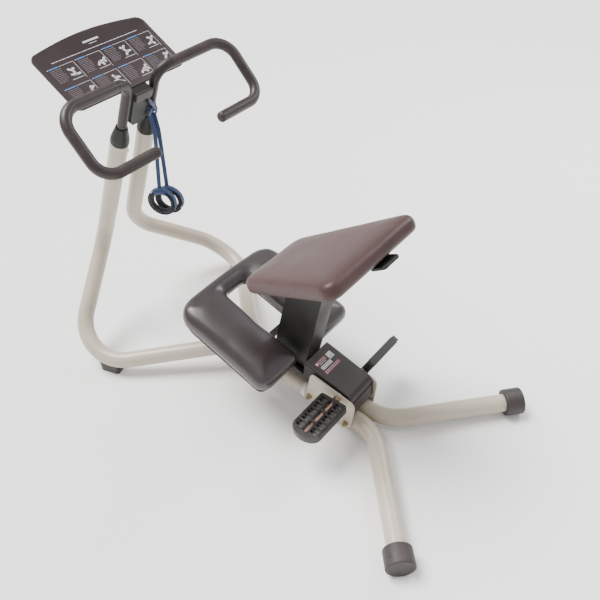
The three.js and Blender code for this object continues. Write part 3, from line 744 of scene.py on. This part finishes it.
GRIP_R = 0.017
GRIP_OUTER_TOP = (0.321, -0.387, 1.058)
GRIP_OUTER_LOW = (0.321, -0.249, 0.898)
GRIP_TIP = (0.134, -0.245, 0.900)
BAR_CORNER_RADIUS = 0.056
GRIP_RADII = (0.066, 0.058)
GRIP_START = 0.054
BAR_IN_COLUMN = 0.060
DOME_FLATNESS = 0.75
GAP = 0.0003


def make_handlebar(label, side):
    top = Vector(mirrored(COLUMN_TOP, side))
    corner = Vector(mirrored(BAR_CORNER, side))
    outer_top = Vector(mirrored(GRIP_OUTER_TOP, side))
    outward = (outer_top - corner).normalized()
    seam = corner + outward * GRIP_START
    bar_route = fillet_route([top - bar_line(side) * BAR_IN_COLUMN, corner, seam],
                             [BAR_CORNER_RADIUS])
    bar = sweep(f"handlebar_{label}_smooth", circle_section(BAR_R, 40), bar_route)
    paint(bar, BAR)
    settle(bar, "frame", "dark_paint", f"handlebar_{label}")

    start = seam + outward * GAP
    points = [start, outer_top, mirrored(GRIP_OUTER_LOW, side), mirrored(GRIP_TIP, side)]
    route = densify(fillet_route(points, GRIP_RADII), 0.006)
    total = path_length(route)
    scales = []
    run = 0.0
    for i, place in enumerate(route):
        run += (place - route[i - 1]).length if i else 0
        lip = 0.985 if run < 0.004 else 1.0
        swell = 1 + 0.012 * math.sin(run / total * 22 * math.pi) * 0.2
        scales.append(lip * swell)
    grip = sweep(f"grip_{label}_foam", circle_section(GRIP_R, 36), route, scales=scales)
    paint(grip, GRIP)
    settle(grip, "frame", "grip_foam", f"grip_{label}")

    direction = (route[-1] - route[-2]).normalized()
    height = DOME_FLATNESS * GRIP_R
    angles = [math.radians(9 * k) for k in range(10)]
    arc = [(GRIP_R * math.cos(a), GAP + height * math.sin(a)) for a in angles]
    dome = [(0, GAP)] + arc + [(0, GAP + height)]
    end = lathe(f"grip_end_{label}_dome", dome, route[-1], direction, 40)
    paint(end, RUBBER)
    settle(end, "frame", "foot_rubber", f"grip_end_{label}")


for side_label, side_sign in SIDES:
    make_frame_tube(side_label, side_sign)
    make_rear_cap(side_label, side_sign)
    make_sleeve(side_label, side_sign)
    make_handlebar(side_label, side_sign)

# ---------- pads ----------

SEAT_CENTRE = Vector((0, 0.237, 0.635))
SEAT_TILT = math.radians(28.6)
KNEE_CENTRE = Vector((0, -0.024, 0.291))
KNEE_TILT = math.radians(-19.5)


def tilted(centre, tilt):
    return Matrix.Translation(centre) @ Matrix.Rotation(tilt, 4, "X")


def evaluated_points(obj):
    depsgraph = bpy.context.evaluated_depsgraph_get()
    mesh = obj.evaluated_get(depsgraph).to_mesh()
    points = np.empty(len(mesh.vertices) * 3)
    mesh.vertices.foreach_get("co", points)
    obj.evaluated_get(depsgraph).to_mesh_clear()
    return points.reshape(-1, 3)


def apply_modifiers(obj):
    depsgraph = bpy.context.evaluated_depsgraph_get()
    mesh = bpy.data.meshes.new_from_object(obj.evaluated_get(depsgraph))
    obj.modifiers.clear()
    obj.data = mesh


def even_out(mesh, field, rounds):
    """Averages a value per vertex with its neighbours'."""
    edges = np.empty(len(mesh.edges) * 2, dtype=np.int64)
    mesh.edges.foreach_get("vertices", edges)
    a, b = edges.reshape(-1, 2).T
    count = np.bincount(edges, minlength=len(field)).astype(float)[:, None]
    for _ in range(rounds):
        total = np.zeros_like(field)
        np.add.at(total, a, field[b])
        np.add.at(total, b, field[a])
        field = 0.5 * field + 0.5 * total / np.maximum(count, 1)
    return field


def edge_distance(points, outline):
    """How far each point is from a closed 2-D outline."""
    best = np.full(len(points), 1e9)
    corners = [np.array(c) for c in outline]
    for a, b in zip(corners, corners[1:] + corners[:1]):
        d = b - a
        t = np.clip(((points[:, :2] - a) @ d) / (d @ d), 0, 1)
        gap = points[:, :2] - (a + t[:, None] * d)
        best = np.minimum(best, np.hypot(gap[:, 0], gap[:, 1]))
    return best


CLOTH_FRAMES = 20
FIXED_EDGE_HEIGHT = 0.016
EVENING_ROUNDS = 40
VOXEL = 0.005


def shrunken_copy(name, node, place, shrink):
    """A copy of a CAD cushion in its own flat frame, drawn in on every side but its underside."""
    mesh = NODES[node].data.copy()
    pad = link(name, mesh)
    pad.data.materials.clear()
    inverse = place.inverted()
    points = np.array([inverse @ v.co for v in mesh.vertices])
    centre = (points.min(0) + points.max(0)) / 2
    half = (points.max(0) - points.min(0)) / 2
    factor = 1 - shrink / half
    factor[2] = 1 - shrink * 0.6 / half[2]
    low = points[:, 2].min()
    points = centre + (points - centre) * factor
    points[:, 2] += low - points[:, 2].min()
    set_points(pad, points)
    return pad


def set_points(pad, points):
    pad.data.vertices.foreach_set("co", points.astype(np.float32).ravel())
    pad.data.update()


def swollen(pad, before, cap, floor_z):
    """Where the cover's points go under pressure, by cloth simulation, capped and evened out."""
    cloth = pad.modifiers.new("cloth", "CLOTH")
    settings = cloth.settings
    settings.quality = 5
    settings.mass = 0.3
    settings.use_pressure = True
    settings.uniform_pressure_force = 4
    settings.effector_weights.gravity = 0
    settings.bending_stiffness = 2.0
    for step in range(1, CLOTH_FRAMES + 1):
        scene.frame_set(step)
    move = evaluated_points(pad) - before
    pad.modifiers.clear()
    scene.frame_set(1)
    size = np.linalg.norm(move, axis=1, keepdims=True)
    move *= np.minimum(1, cap / np.maximum(size, 1e-9))
    rise = np.clip((before[:, 2] - floor_z) / FIXED_EDGE_HEIGHT, 0, 1)
    move *= (rise * rise * (3 - 2 * rise))[:, None]
    return before + even_out(pad.data, move, EVENING_ROUNDS)


def stuffed(name, node, place, shrink, cap, floor_z, outline, crown, reach, sink):
    """The CAD cushion's form, crowned, remeshed and swollen by a cloth simulation.

    The crown rises from the outline to its full height over the reach; sink lowers the top.
    """
    pad = shrunken_copy(name, node, place, shrink)
    modifier = pad.modifiers.new("voxels", "REMESH")
    modifier.mode = "VOXEL"
    modifier.voxel_size = VOXEL
    smooth = pad.modifiers.new("even", "SMOOTH")
    smooth.factor = 0.5
    smooth.iterations = 6
    apply_modifiers(pad)
    points = evaluated_points(pad)
    top = points[:, 2].max()
    upper = np.clip((points[:, 2] - floor_z) / (top - floor_z), 0, 1)
    inward = np.clip(edge_distance(points, outline) / reach, 0, 1)
    points[:, 2] += upper * (crown * np.sin(inward * math.pi / 2) - sink)
    set_points(pad, points)
    points = swollen(pad, points, cap, floor_z)
    points[:, 2] = np.maximum(points[:, 2], floor_z)
    set_points(pad, points)
    relax = pad.modifiers.new("relax", "SMOOTH")
    relax.factor = 0.5
    relax.iterations = 8
    finer = pad.modifiers.new("finer", "SUBSURF")
    finer.levels = 1
    finer.render_levels = 1
    apply_modifiers(pad)
    pad.data.transform(place)
    pad.data.polygons.foreach_set("use_smooth", [True] * len(pad.data.polygons))
    return pad


SEAT_PLACE = tilted(SEAT_CENTRE, SEAT_TILT)
KNEE_PLACE = tilted(KNEE_CENTRE, KNEE_TILT)
SEAT_OUTLINE = ((-0.142, -0.230), (0.142, -0.230), (0.218, 0.230), (-0.218, 0.230))
KNEE_OUTLINE = ((-0.238, -0.211), (0.238, -0.211), (0.238, 0.211), (0.050, 0.211),
                (0.050, -0.145), (-0.050, -0.145), (-0.050, 0.211), (-0.238, 0.211))
seat = stuffed("seat_pad_cover", "seat_pad", SEAT_PLACE, shrink=0.003, cap=0.005,
               floor_z=-0.0212, outline=SEAT_OUTLINE, crown=0.006, reach=0.120, sink=0.002)
paint(seat, VINYL)
settle(seat, "rocker", "seat_vinyl", "seat_pad")

knee = stuffed("knee_pad_cover", "knee_pad", KNEE_PLACE, shrink=0.003, cap=0.007,
               floor_z=-0.0297, outline=KNEE_OUTLINE, crown=0.017, reach=0.094, sink=0.008)
paint(knee, PAD_VINYL)
settle(knee, "rocker", "pad_vinyl", "knee_pad")

# ---------- CAD nodes that keep their shape ----------

for side_label, _ in SIDES:
    dress(f"front_foot_{side_label}", RUBBER, 0.0015, 3)
    dress(f"side_plate_{side_label}", PAINT, 0.0012, 3)
    dress(f"plate_bolt_front_{side_label}", BRASS, 0.0005)
    dress(f"plate_bolt_rear_{side_label}", BRASS, 0.0005)
    dress(f"stop_collar_{side_label}", NYLON, 0.0006)
    dress(f"pedal_body_{side_label}", PEDAL, 0.0010, 3)
    dress(f"pedal_spindle_{side_label}", SPINDLE, 0.0006)
    dress(f"spindle_nut_{side_label}", BRASS, 0.0008)
    dress(f"arm_web_{side_label}", DARK)
    dress(f"pivot_bush_{side_label}", NYLON, 0)
for node_name, finish, edge in (
        ("console_panel", DARK, 0.002), ("console_ledge", COVER, 0.001),
        ("board_bracket", DARK, 0.0008), ("pivot_shaft", SPINDLE, 0.0006),
        ("arm_deck", DARK, 0.0006), ("arm_base", DARK, 0.0006), ("arm_rest", DARK, 0.0015),
        ("seat_post", DARK, 0.0025), ("seat_pan", PLY, 0.0015), ("seat_plate", DARK, 0.001),
        ("seat_tongue", DARK, 0.0008), ("knee_board", PLY, 0.0015), ("knee_yoke", DARK, 0.0008),
        ("arm_cover", COVER, 0.0012)):
    dress(node_name, finish, edge, 3)
for index in range(4):
    dress(f"seat_bolt_{index + 1}", BRASS, 0.0005)
for index in range(2):
    dress(f"knee_bolt_{index + 1}", BRASS, 0.0005)

# ---------- instruction board ----------

BOARD_FRONT = (-0.656, 1.114)
BOARD_REAR = (-0.468, 0.996)
BOARD_HALF_WIDTH = 0.212
BOARD_THICKNESS = 0.005
BOARD_CORNER = 0.024
BOARD_ARCH = 0.024
RUN = BOARD_REAR[0] - BOARD_FRONT[0]
LIFT = BOARD_FRONT[1] - BOARD_REAR[1]
BOARD_LENGTH = math.hypot(RUN, LIFT)
BOARD_ACROSS = Vector((-1, 0, 0))
BOARD_UP = Vector((0, -RUN, LIFT)) / BOARD_LENGTH
BOARD_OUT = Vector((0, LIFT, RUN)) / BOARD_LENGTH
BOARD_ORIGIN = Vector((0, *BOARD_REAR))


def on_board(x, y, z):
    return BOARD_ORIGIN + BOARD_ACROSS * x + BOARD_UP * y + BOARD_OUT * z


def board_arch(x):
    return BOARD_ARCH * math.cos(x / BOARD_HALF_WIDTH * math.pi / 2)


def corner_arc(x, y, radius, start, steps=12):
    """A quarter circle of places about (x, y), from the start angle in degrees."""
    angles = [math.radians(start + 90 * k / steps) for k in range(steps + 1)]
    return [(x + radius * math.cos(a), y + radius * math.sin(a)) for a in angles]


def board_outline(inset=0.0):
    """The plate's outline: rounded corners and an arched top edge."""
    w = BOARD_HALF_WIDTH - inset
    low = inset
    high = BOARD_LENGTH - inset
    r = BOARD_CORNER - inset * 0.6
    points = corner_arc(w - r, low + r, r, -90) + corner_arc(w - r, high - r, r, 0)
    top = [(w - r) * (1 - 2 * k / 24) for k in range(1, 24)]
    points += [(x, high) for x in top]
    points += corner_arc(-w + r, high - r, r, 90) + corner_arc(-w + r, low + r, r, 180)
    return [(x, y + board_arch(x) * (y > BOARD_LENGTH / 2)) for x, y in points]


def make_board():
    """The plate, with a rolled rim round its printed face."""
    levels = [(0.0012, -BOARD_THICKNESS), (0, -BOARD_THICKNESS + 0.0012), (0, -0.0012),
              (0.0005, -0.0003), (0.0014, 0.0), (0.0040, 0.0), (0.0046, -0.0004)]
    outlines = [[on_board(x, y, z) for x, y in board_outline(inset)] for inset, z in levels]
    verts = [v for ring in outlines for v in ring]
    board = mesh_object("instruction_board_plate", verts,
                        tube_faces(len(outlines[0]), len(levels)), smooth_angle=35)
    paint(board, BOARD)
    settle(board, "frame", "board_plastic", "instruction_board")


# Stick figures on a bench: strokes between points of a 10 x 10 square, and the head's place.
FIGURES = (
    (((2, 2), (5, 2.5)), ((5, 2.5), (6, 6)), ((6, 6), (8.5, 7.5)), ((5, 2.5), (8, 1.5)),
     (6.6, 7.8)),
    (((2, 4), (5, 3)), ((5, 3), (4, 7)), ((4, 7), (7.5, 6)), ((5, 3), (8, 1)), (3.6, 8.6)),
    (((2, 1.5), (4.5, 3.5)), ((4.5, 3.5), (7.5, 5)), ((7.5, 5), (9, 2.5)), ((4.5, 3.5), (7, 1)),
     (8.6, 6.4)),
    (((3, 1), (4, 4)), ((4, 4), (6.5, 7)), ((6.5, 7), (9, 8.8)), ((4, 4), (7, 3)), (6.0, 8.8)),
    (((2, 3), (5, 2)), ((5, 2), (5, 6)), ((5, 6), (2.5, 8)), ((5, 2), (8.2, 2)), (6.2, 7.4)),
    (((1.5, 2), (4, 4.5)), ((4, 4.5), (7, 4)), ((7, 4), (9, 6)), ((4, 4.5), (5.5, 1)),
     (8.0, 3.0)),
    (((3, 1), (5, 3.4)), ((5, 3.4), (3.6, 6.6)), ((3.6, 6.6), (6, 8.8)), ((5, 3.4), (8, 3.4)),
     (2.6, 8.2)),
    (((2, 2), (5, 3)), ((5, 3), (7.6, 6)), ((7.6, 6), (5, 7.6)), ((5, 3), (7, 0.8)), (8.8, 7.2)),
)
INK_LOW = -0.0004
INK_HIGH = -0.00005


PANEL_COLUMNS = 4
PANEL_PITCH = 0.0985
PANEL_WIDTH = 0.092
PANEL_HEIGHT = 0.070
PANEL_ROWS = (0.014, 0.094)
RULE = 0.0011
FIGURE_SCALE = 0.0041
LIMB_WIDTH = 0.0072
HEAD_R = 0.0044
TEXT_ROWS = 9
TEXT_PITCH = 0.0058


def print_words(prisms, draw, place, stop, height, shortest, longest, gap, room):
    """A row of short bars like words, from place up to stop."""
    x, y = place
    while x < stop - room:
        word = min(draw.uniform(shortest, longest), stop - x)
        prisms.bar(x, y, word, height, INK_LOW, INK_HIGH)
        x += word + gap


def print_figure(prisms, figure, x, y):
    """One stick figure over a short ground line."""
    for (ax, ay), (bx, by) in figure[:-1]:
        prisms.limb((x + ax * FIGURE_SCALE, y + ay * FIGURE_SCALE),
                    (x + bx * FIGURE_SCALE, y + by * FIGURE_SCALE),
                    LIMB_WIDTH, INK_LOW, INK_HIGH)
    head_x, head_y = figure[-1]
    prisms.disc(x + head_x * FIGURE_SCALE, y + head_y * FIGURE_SCALE, HEAD_R, INK_LOW, INK_HIGH)
    prisms.bar(x - 0.002, y - 0.006, 0.040, 0.0016, INK_LOW, INK_HIGH)


def print_panel(white, grey, blue, draw, x0, y0, figure):
    """One exercise panel: a blue heading, two rules, rows of words and a figure."""
    top = y0 + PANEL_HEIGHT
    heading = draw.uniform(0.030, 0.042)
    blue.bar(x0 + 0.005, top - 0.0055, heading, 0.0036, INK_LOW, INK_HIGH)
    white.disc(x0 + 0.0015, top - 0.0037, 0.0016, INK_LOW, INK_HIGH, 10)
    white.bar(x0 + 0.008 + heading, top - 0.0042, PANEL_WIDTH - 0.009 - heading, RULE,
              INK_LOW, INK_HIGH)
    white.bar(x0 + PANEL_WIDTH - 0.001 - RULE, y0, RULE, PANEL_HEIGHT - 0.0042,
              INK_LOW, INK_HIGH)
    for k in range(TEXT_ROWS):
        right = 0.043 if k < 7 else 0.036
        place = (x0 + 0.004, top - 0.0125 - k * TEXT_PITCH)
        print_words(grey, draw, place, x0 + right, 0.0014, 0.004, 0.010, 0.0016, 0.004)
    print_figure(white, figure, x0 + 0.048, y0 + 0.013)


def make_print():
    """Eight panels, a row of title words and two bars at the top."""
    white = Prisms(on_board)
    grey = Prisms(on_board)
    blue = Prisms(on_board)
    draw = random.Random(7)
    for row, y0 in enumerate(PANEL_ROWS):
        for column in range(PANEL_COLUMNS):
            x0 = (column - (PANEL_COLUMNS - 1) / 2) * PANEL_PITCH - PANEL_WIDTH / 2
            figure = FIGURES[row * PANEL_COLUMNS + column]
            print_panel(white, grey, blue, draw, x0, y0, figure)
    x = -0.165
    while x < 0.160:
        word = draw.uniform(0.006, 0.015)
        white.bar(x, 0.1765, word, 0.0021, INK_LOW, INK_HIGH)
        x += word + 0.0022
    white.bar(-0.030, 0.2025, 0.058, 0.0065, INK_LOW, INK_HIGH)
    white.bar(-0.016, 0.1935, 0.030, 0.0016, INK_LOW, INK_HIGH)
    for name, ink, prisms in (("board_print_white", WHITE_INK, white),
                              ("board_print_grey", GREY_INK, grey),
                              ("board_print_blue", BLUE_INK, blue)):
        obj = prisms.build(name)
        paint(obj, ink)
        settle(obj, "frame", "board_plastic")


make_board()
make_print()

# ---------- label on the arm cover ----------

COVER_FRONT = Vector((0, 0.200, 0.2377))
COVER_REAR = Vector((0, 0.371, 0.186))
COVER_DOWN = (COVER_REAR - COVER_FRONT).normalized()
COVER_OUT = Vector((0, -COVER_DOWN.z, COVER_DOWN.y))


def on_cover(x, y, z):
    return COVER_FRONT + Vector((-1, 0, 0)) * x + COVER_DOWN * -y + COVER_OUT * z


def make_label():
    """Plain blocks of colour and rows of short bars, with no lettering."""
    low = 0.00002
    mid = 0.0003
    high = 0.0005
    dark = Prisms(on_cover)
    white = Prisms(on_cover)
    red = Prisms(on_cover)
    dark.bar(-0.046, -0.084, 0.084, 0.062, low, mid)
    red.bar(-0.044, -0.044, 0.052, 0.020, mid, high)
    red.bar(-0.044, -0.082, 0.080, 0.016, mid, high)
    white.bar(-0.038, -0.062, 0.048, 0.014, mid, high)
    white.bar(0.013, -0.050, 0.023, 0.024, mid, high)
    draw = random.Random(3)
    above = high + 0.0002
    rows = ((white, -0.030, -0.030, 0.004), (white, -0.030, -0.036, 0.004),
            (white, -0.030, -0.042, 0.004), (dark, -0.036, -0.053, 0.008),
            (dark, -0.036, -0.059, 0.008), (white, -0.040, -0.071, 0.032),
            (white, -0.040, -0.077, 0.032), (dark, 0.015, -0.045, 0.034))
    for prisms, start, y, end in rows:
        x = start
        while x < end - 0.004:
            word = min(draw.uniform(0.005, 0.011), end - x)
            prisms.bar(x, y, word, 0.0019, high, above)
            x += word + 0.0024
    white.disc(-0.038, -0.033, 0.0045, high, above, 24)
    for name, ink, prisms in (("cover_label_dark", BLACK_INK_AND_SHADE, dark),
                              ("cover_label_white", WHITE_INK, white),
                              ("cover_label_red", RED_INK, red)):
        obj = prisms.build(name)
        paint(obj, ink)
        settle(obj, "rocker", "cover_plastic")


make_label()

# ---------- pedal treads ----------

PIVOT = Vector((0, 0.336, 0.162))
PEDAL_PITCH = {"left": 0.0, "right": math.radians(63)}
PEDAL_INNER_X = 0.084
PEDAL_OUTER_X = 0.260
PEDAL_HALF_THICKNESS = 0.012
PEDAL_ROUND_FROM_X = PEDAL_OUTER_X - 0.034
TREAD_LINES = (-0.0455, -0.0125, 0.0125, 0.0455)
TREAD_COUNT = 26
TREAD_PITCH = 0.0058
TREAD_HALF = (0.0017, 0.0030)
TREAD_CREST = 0.0014
WINDOW_COUNT = 5
WINDOW_START = 0.022
WINDOW_PITCH = 0.029
WINDOW_Y = 0.028
RIB_HALF = (0.0013, 0.0138, 0.0100)
RIB_LEAN = 0.0025
TOOTH_COUNT = 12
TOOTH_PITCH = 0.0115
TOOTH_Y = 0.0475
TOOTH_SIZE = (0.0052, 0.0044)
TOOTH_HEIGHT = 0.0030


def on_pedal(label, side):
    """A function that places points of a level pedal on the spindle at that pedal's pitch."""
    turn = Matrix.Rotation(PEDAL_PITCH[label], 3, "X")
    return lambda across, along, out: PIVOT + turn @ Vector((side * across, along, out))


def make_tread(label, side):
    """Rows of small ribs on both faces, between the windows and along the rails."""
    place = on_pedal(label, side)
    half_x, half_y = TREAD_HALF
    verts = []
    faces = []
    for k in range(TREAD_COUNT):
        x = PEDAL_INNER_X + 0.008 + k * TREAD_PITCH
        for y in TREAD_LINES:
            if x > PEDAL_ROUND_FROM_X and abs(y) > 0.03:
                continue
            for face in (1, -1):
                base = face * (PEDAL_HALF_THICKNESS - 0.0003)
                crest = face * (PEDAL_HALF_THICKNESS + TREAD_CREST)
                first = len(verts)
                for grow, z in ((1, base), (0.55, crest)):
                    verts += [place(x + sx * half_x * grow, y + sy * half_y * grow, z)
                              for sx, sy in SQUARE]
                faces += [tuple(first + i for i in f) for f in BOX_FACES]
    tread = mesh_object(f"pedal_tread_{label}", verts, faces, smooth_angle=0)
    paint(tread, PEDAL)
    settle(tread, f"pedal_{label}", "pedal_plastic")


for side_label, side_sign in SIDES:
    make_tread(side_label, side_sign)

# ---------- small fittings ----------


def make_pedal_ribs(label, side):
    """Thin upright ribs that split each of the cage's side windows."""
    place = on_pedal(label, side)
    half_x, half_y, half_z = RIB_HALF
    verts = []
    faces = []
    for k in range(WINDOW_COUNT):
        x = PEDAL_INNER_X + WINDOW_START + k * WINDOW_PITCH
        for y in (-WINDOW_Y, WINDOW_Y):
            first = len(verts)
            for sz in (-1, 1):
                verts += [place(x + sx * half_x + sy * RIB_LEAN, y + sy * half_y, sz * half_z)
                          for sx, sy in SQUARE]
            faces += [tuple(first + i for i in f) for f in BOX_FACES]
    ribs = mesh_object(f"pedal_ribs_{label}", verts, faces, smooth_angle=0)
    paint(ribs, PEDAL)
    settle(ribs, f"pedal_{label}", "pedal_plastic")


def make_pedal_teeth(label, side):
    """Gripping teeth along both long edges of the cage, on both of its faces."""
    rim = PEDAL_HALF_THICKNESS - 0.0004
    width, depth = TOOTH_SIZE
    teeth = Prisms(on_pedal(label, side))
    for k in range(TOOTH_COUNT):
        x = PEDAL_INNER_X + 0.010 + k * TOOTH_PITCH
        for y in (-TOOTH_Y, TOOTH_Y):
            teeth.bar(x, y - depth / 2, width, depth, rim, rim + TOOTH_HEIGHT)
            teeth.bar(x, y - depth / 2, width, depth, -rim - TOOTH_HEIGHT, -rim)
    made = teeth.build(f"pedal_teeth_{label}")
    paint(made, PEDAL)
    settle(made, f"pedal_{label}", "pedal_plastic")


for side_label, side_sign in SIDES:
    make_pedal_ribs(side_label, side_sign)
    make_pedal_teeth(side_label, side_sign)


COVER_END_Y = 0.3883
MOUTH_HALF_WIDTH = 0.050
MOUTH_LOW = 0.112
MOUTH_HEIGHT = 0.046
LIP = 0.004
LIP_LOW = 0.108
LIP_HEIGHT = 0.052


def make_cover_mouth():
    """A thin black panel of painted shade and a rim on the cover's closed rear face; the panel
    stands for the shaded inside of an open end.
    """
    def on_end(across, up, out):
        return Vector((across, COVER_END_Y + out, up))

    # Painted shade: a black sheet where the shaded inside of the cover's open end would be.
    panel = Prisms(on_end)
    panel.bar(-MOUTH_HALF_WIDTH, MOUTH_LOW, 2 * MOUTH_HALF_WIDTH, MOUTH_HEIGHT, -0.0002, 0.0006)
    mouth_shade = panel.build("arm_cover_mouth_painted_shade")
    paint(mouth_shade, BLACK_INK_AND_SHADE)
    settle(mouth_shade, "rocker", "dark_paint")
    lips = Prisms(on_end)
    outer = MOUTH_HALF_WIDTH + LIP
    for across in (-outer, MOUTH_HALF_WIDTH):
        lips.bar(across, LIP_LOW, LIP, LIP_HEIGHT, 0.0, 0.0016)
    lips.bar(-outer, MOUTH_LOW + MOUTH_HEIGHT, 2 * outer, 0.003, 0.0, 0.0016)
    rim = lips.build("arm_cover_rim")
    paint(rim, COVER)
    settle(rim, "rocker", "cover_plastic")


make_cover_mouth()


def make_column_screw():
    """A light-coloured screw on the inner side of the left column, under its sleeve."""
    top = Vector(COLUMN_TOP)
    down = (Vector(COLUMN_FOOT) - top).normalized()
    out = Vector((-0.75, 0.60, 0.3))
    out = (out - down * out.dot(down)).normalized()
    at = top + down * 0.042 + out * (TUBE_R - 0.0004)
    profile = [(0, 0), (0.0062, 0), (0.0066, 0.0016), (0.0058, 0.0042), (0.0036, 0.0052),
               (0.0030, 0.0038), (0, 0.0038)]
    screw = lathe("column_screw_left", rounded_corner(profile, 0.0012), at, out, 32)
    paint(screw, NYLON)
    settle(screw, "frame", "white_nylon")


make_column_screw()

# ---------- stage and light ----------


FLOOR_HALF = 6
WORLD_STRENGTH = 0.9
KEY_STRENGTH = 6.0
KEY_SPREAD = math.radians(32)


def make_stage():
    """A plain pale floor."""
    corners = [(x * FLOOR_HALF, y * FLOOR_HALF, 0) for x, y in SQUARE]
    floor = mesh_object("floor", corners, [(0, 1, 2, 3)], smooth_angle=0)
    floor.location.z = -0.0005
    material, tree, shader = node_material("floor_paper")
    shader.inputs["Roughness"].default_value = 0.9
    patches = noise(tree, 0.6, 2)
    tree.links.new(ramp(tree, patches, [(0, (0.90, 0.90, 0.895)), (1, (0.93, 0.93, 0.925))]),
                   shader.inputs["Base Color"])
    paint(floor, material)


def area_light(name, place, target, size, power, color=(1, 1, 1)):
    data = bpy.data.lights.new(name, "AREA")
    data.shape = "DISK"
    data.size = size
    data.energy = power
    data.color = color
    light = bpy.data.objects.new(name, data)
    direction = Vector(target) - Vector(place)
    light.rotation_euler = direction.to_track_quat("-Z", "Y").to_euler()
    light.location = place
    scene.collection.objects.link(light)


def make_light():
    world = bpy.data.worlds.new("studio")
    world.use_nodes = True
    background = world.node_tree.nodes["Background"]
    background.inputs["Color"].default_value = (1.0, 1.0, 1.0, 1)
    background.inputs["Strength"].default_value = WORLD_STRENGTH
    scene.world = world
    make_key()
    area_light("rim", (-2.6, 0.8, 2.4), (0, 0, 0.5), 1.2, 40, (0.97, 0.98, 1.0))


def make_key():
    """A broad, soft sun from above and to the camera's left."""
    data = bpy.data.lights.new("key", "SUN")
    data.energy = KEY_STRENGTH
    data.angle = KEY_SPREAD
    data.color = (1.0, 0.985, 0.96)
    key = bpy.data.objects.new("key", data)
    right = CAMERA_RIGHT.normalized()
    up = -CAMERA_DOWN.normalized()
    source = right.cross(up) * 0.45 + up * 0.85 - right * 0.5
    key.rotation_euler = source.to_track_quat("Z", "Y").to_euler()
    scene.collection.objects.link(key)


make_stage()
make_light()
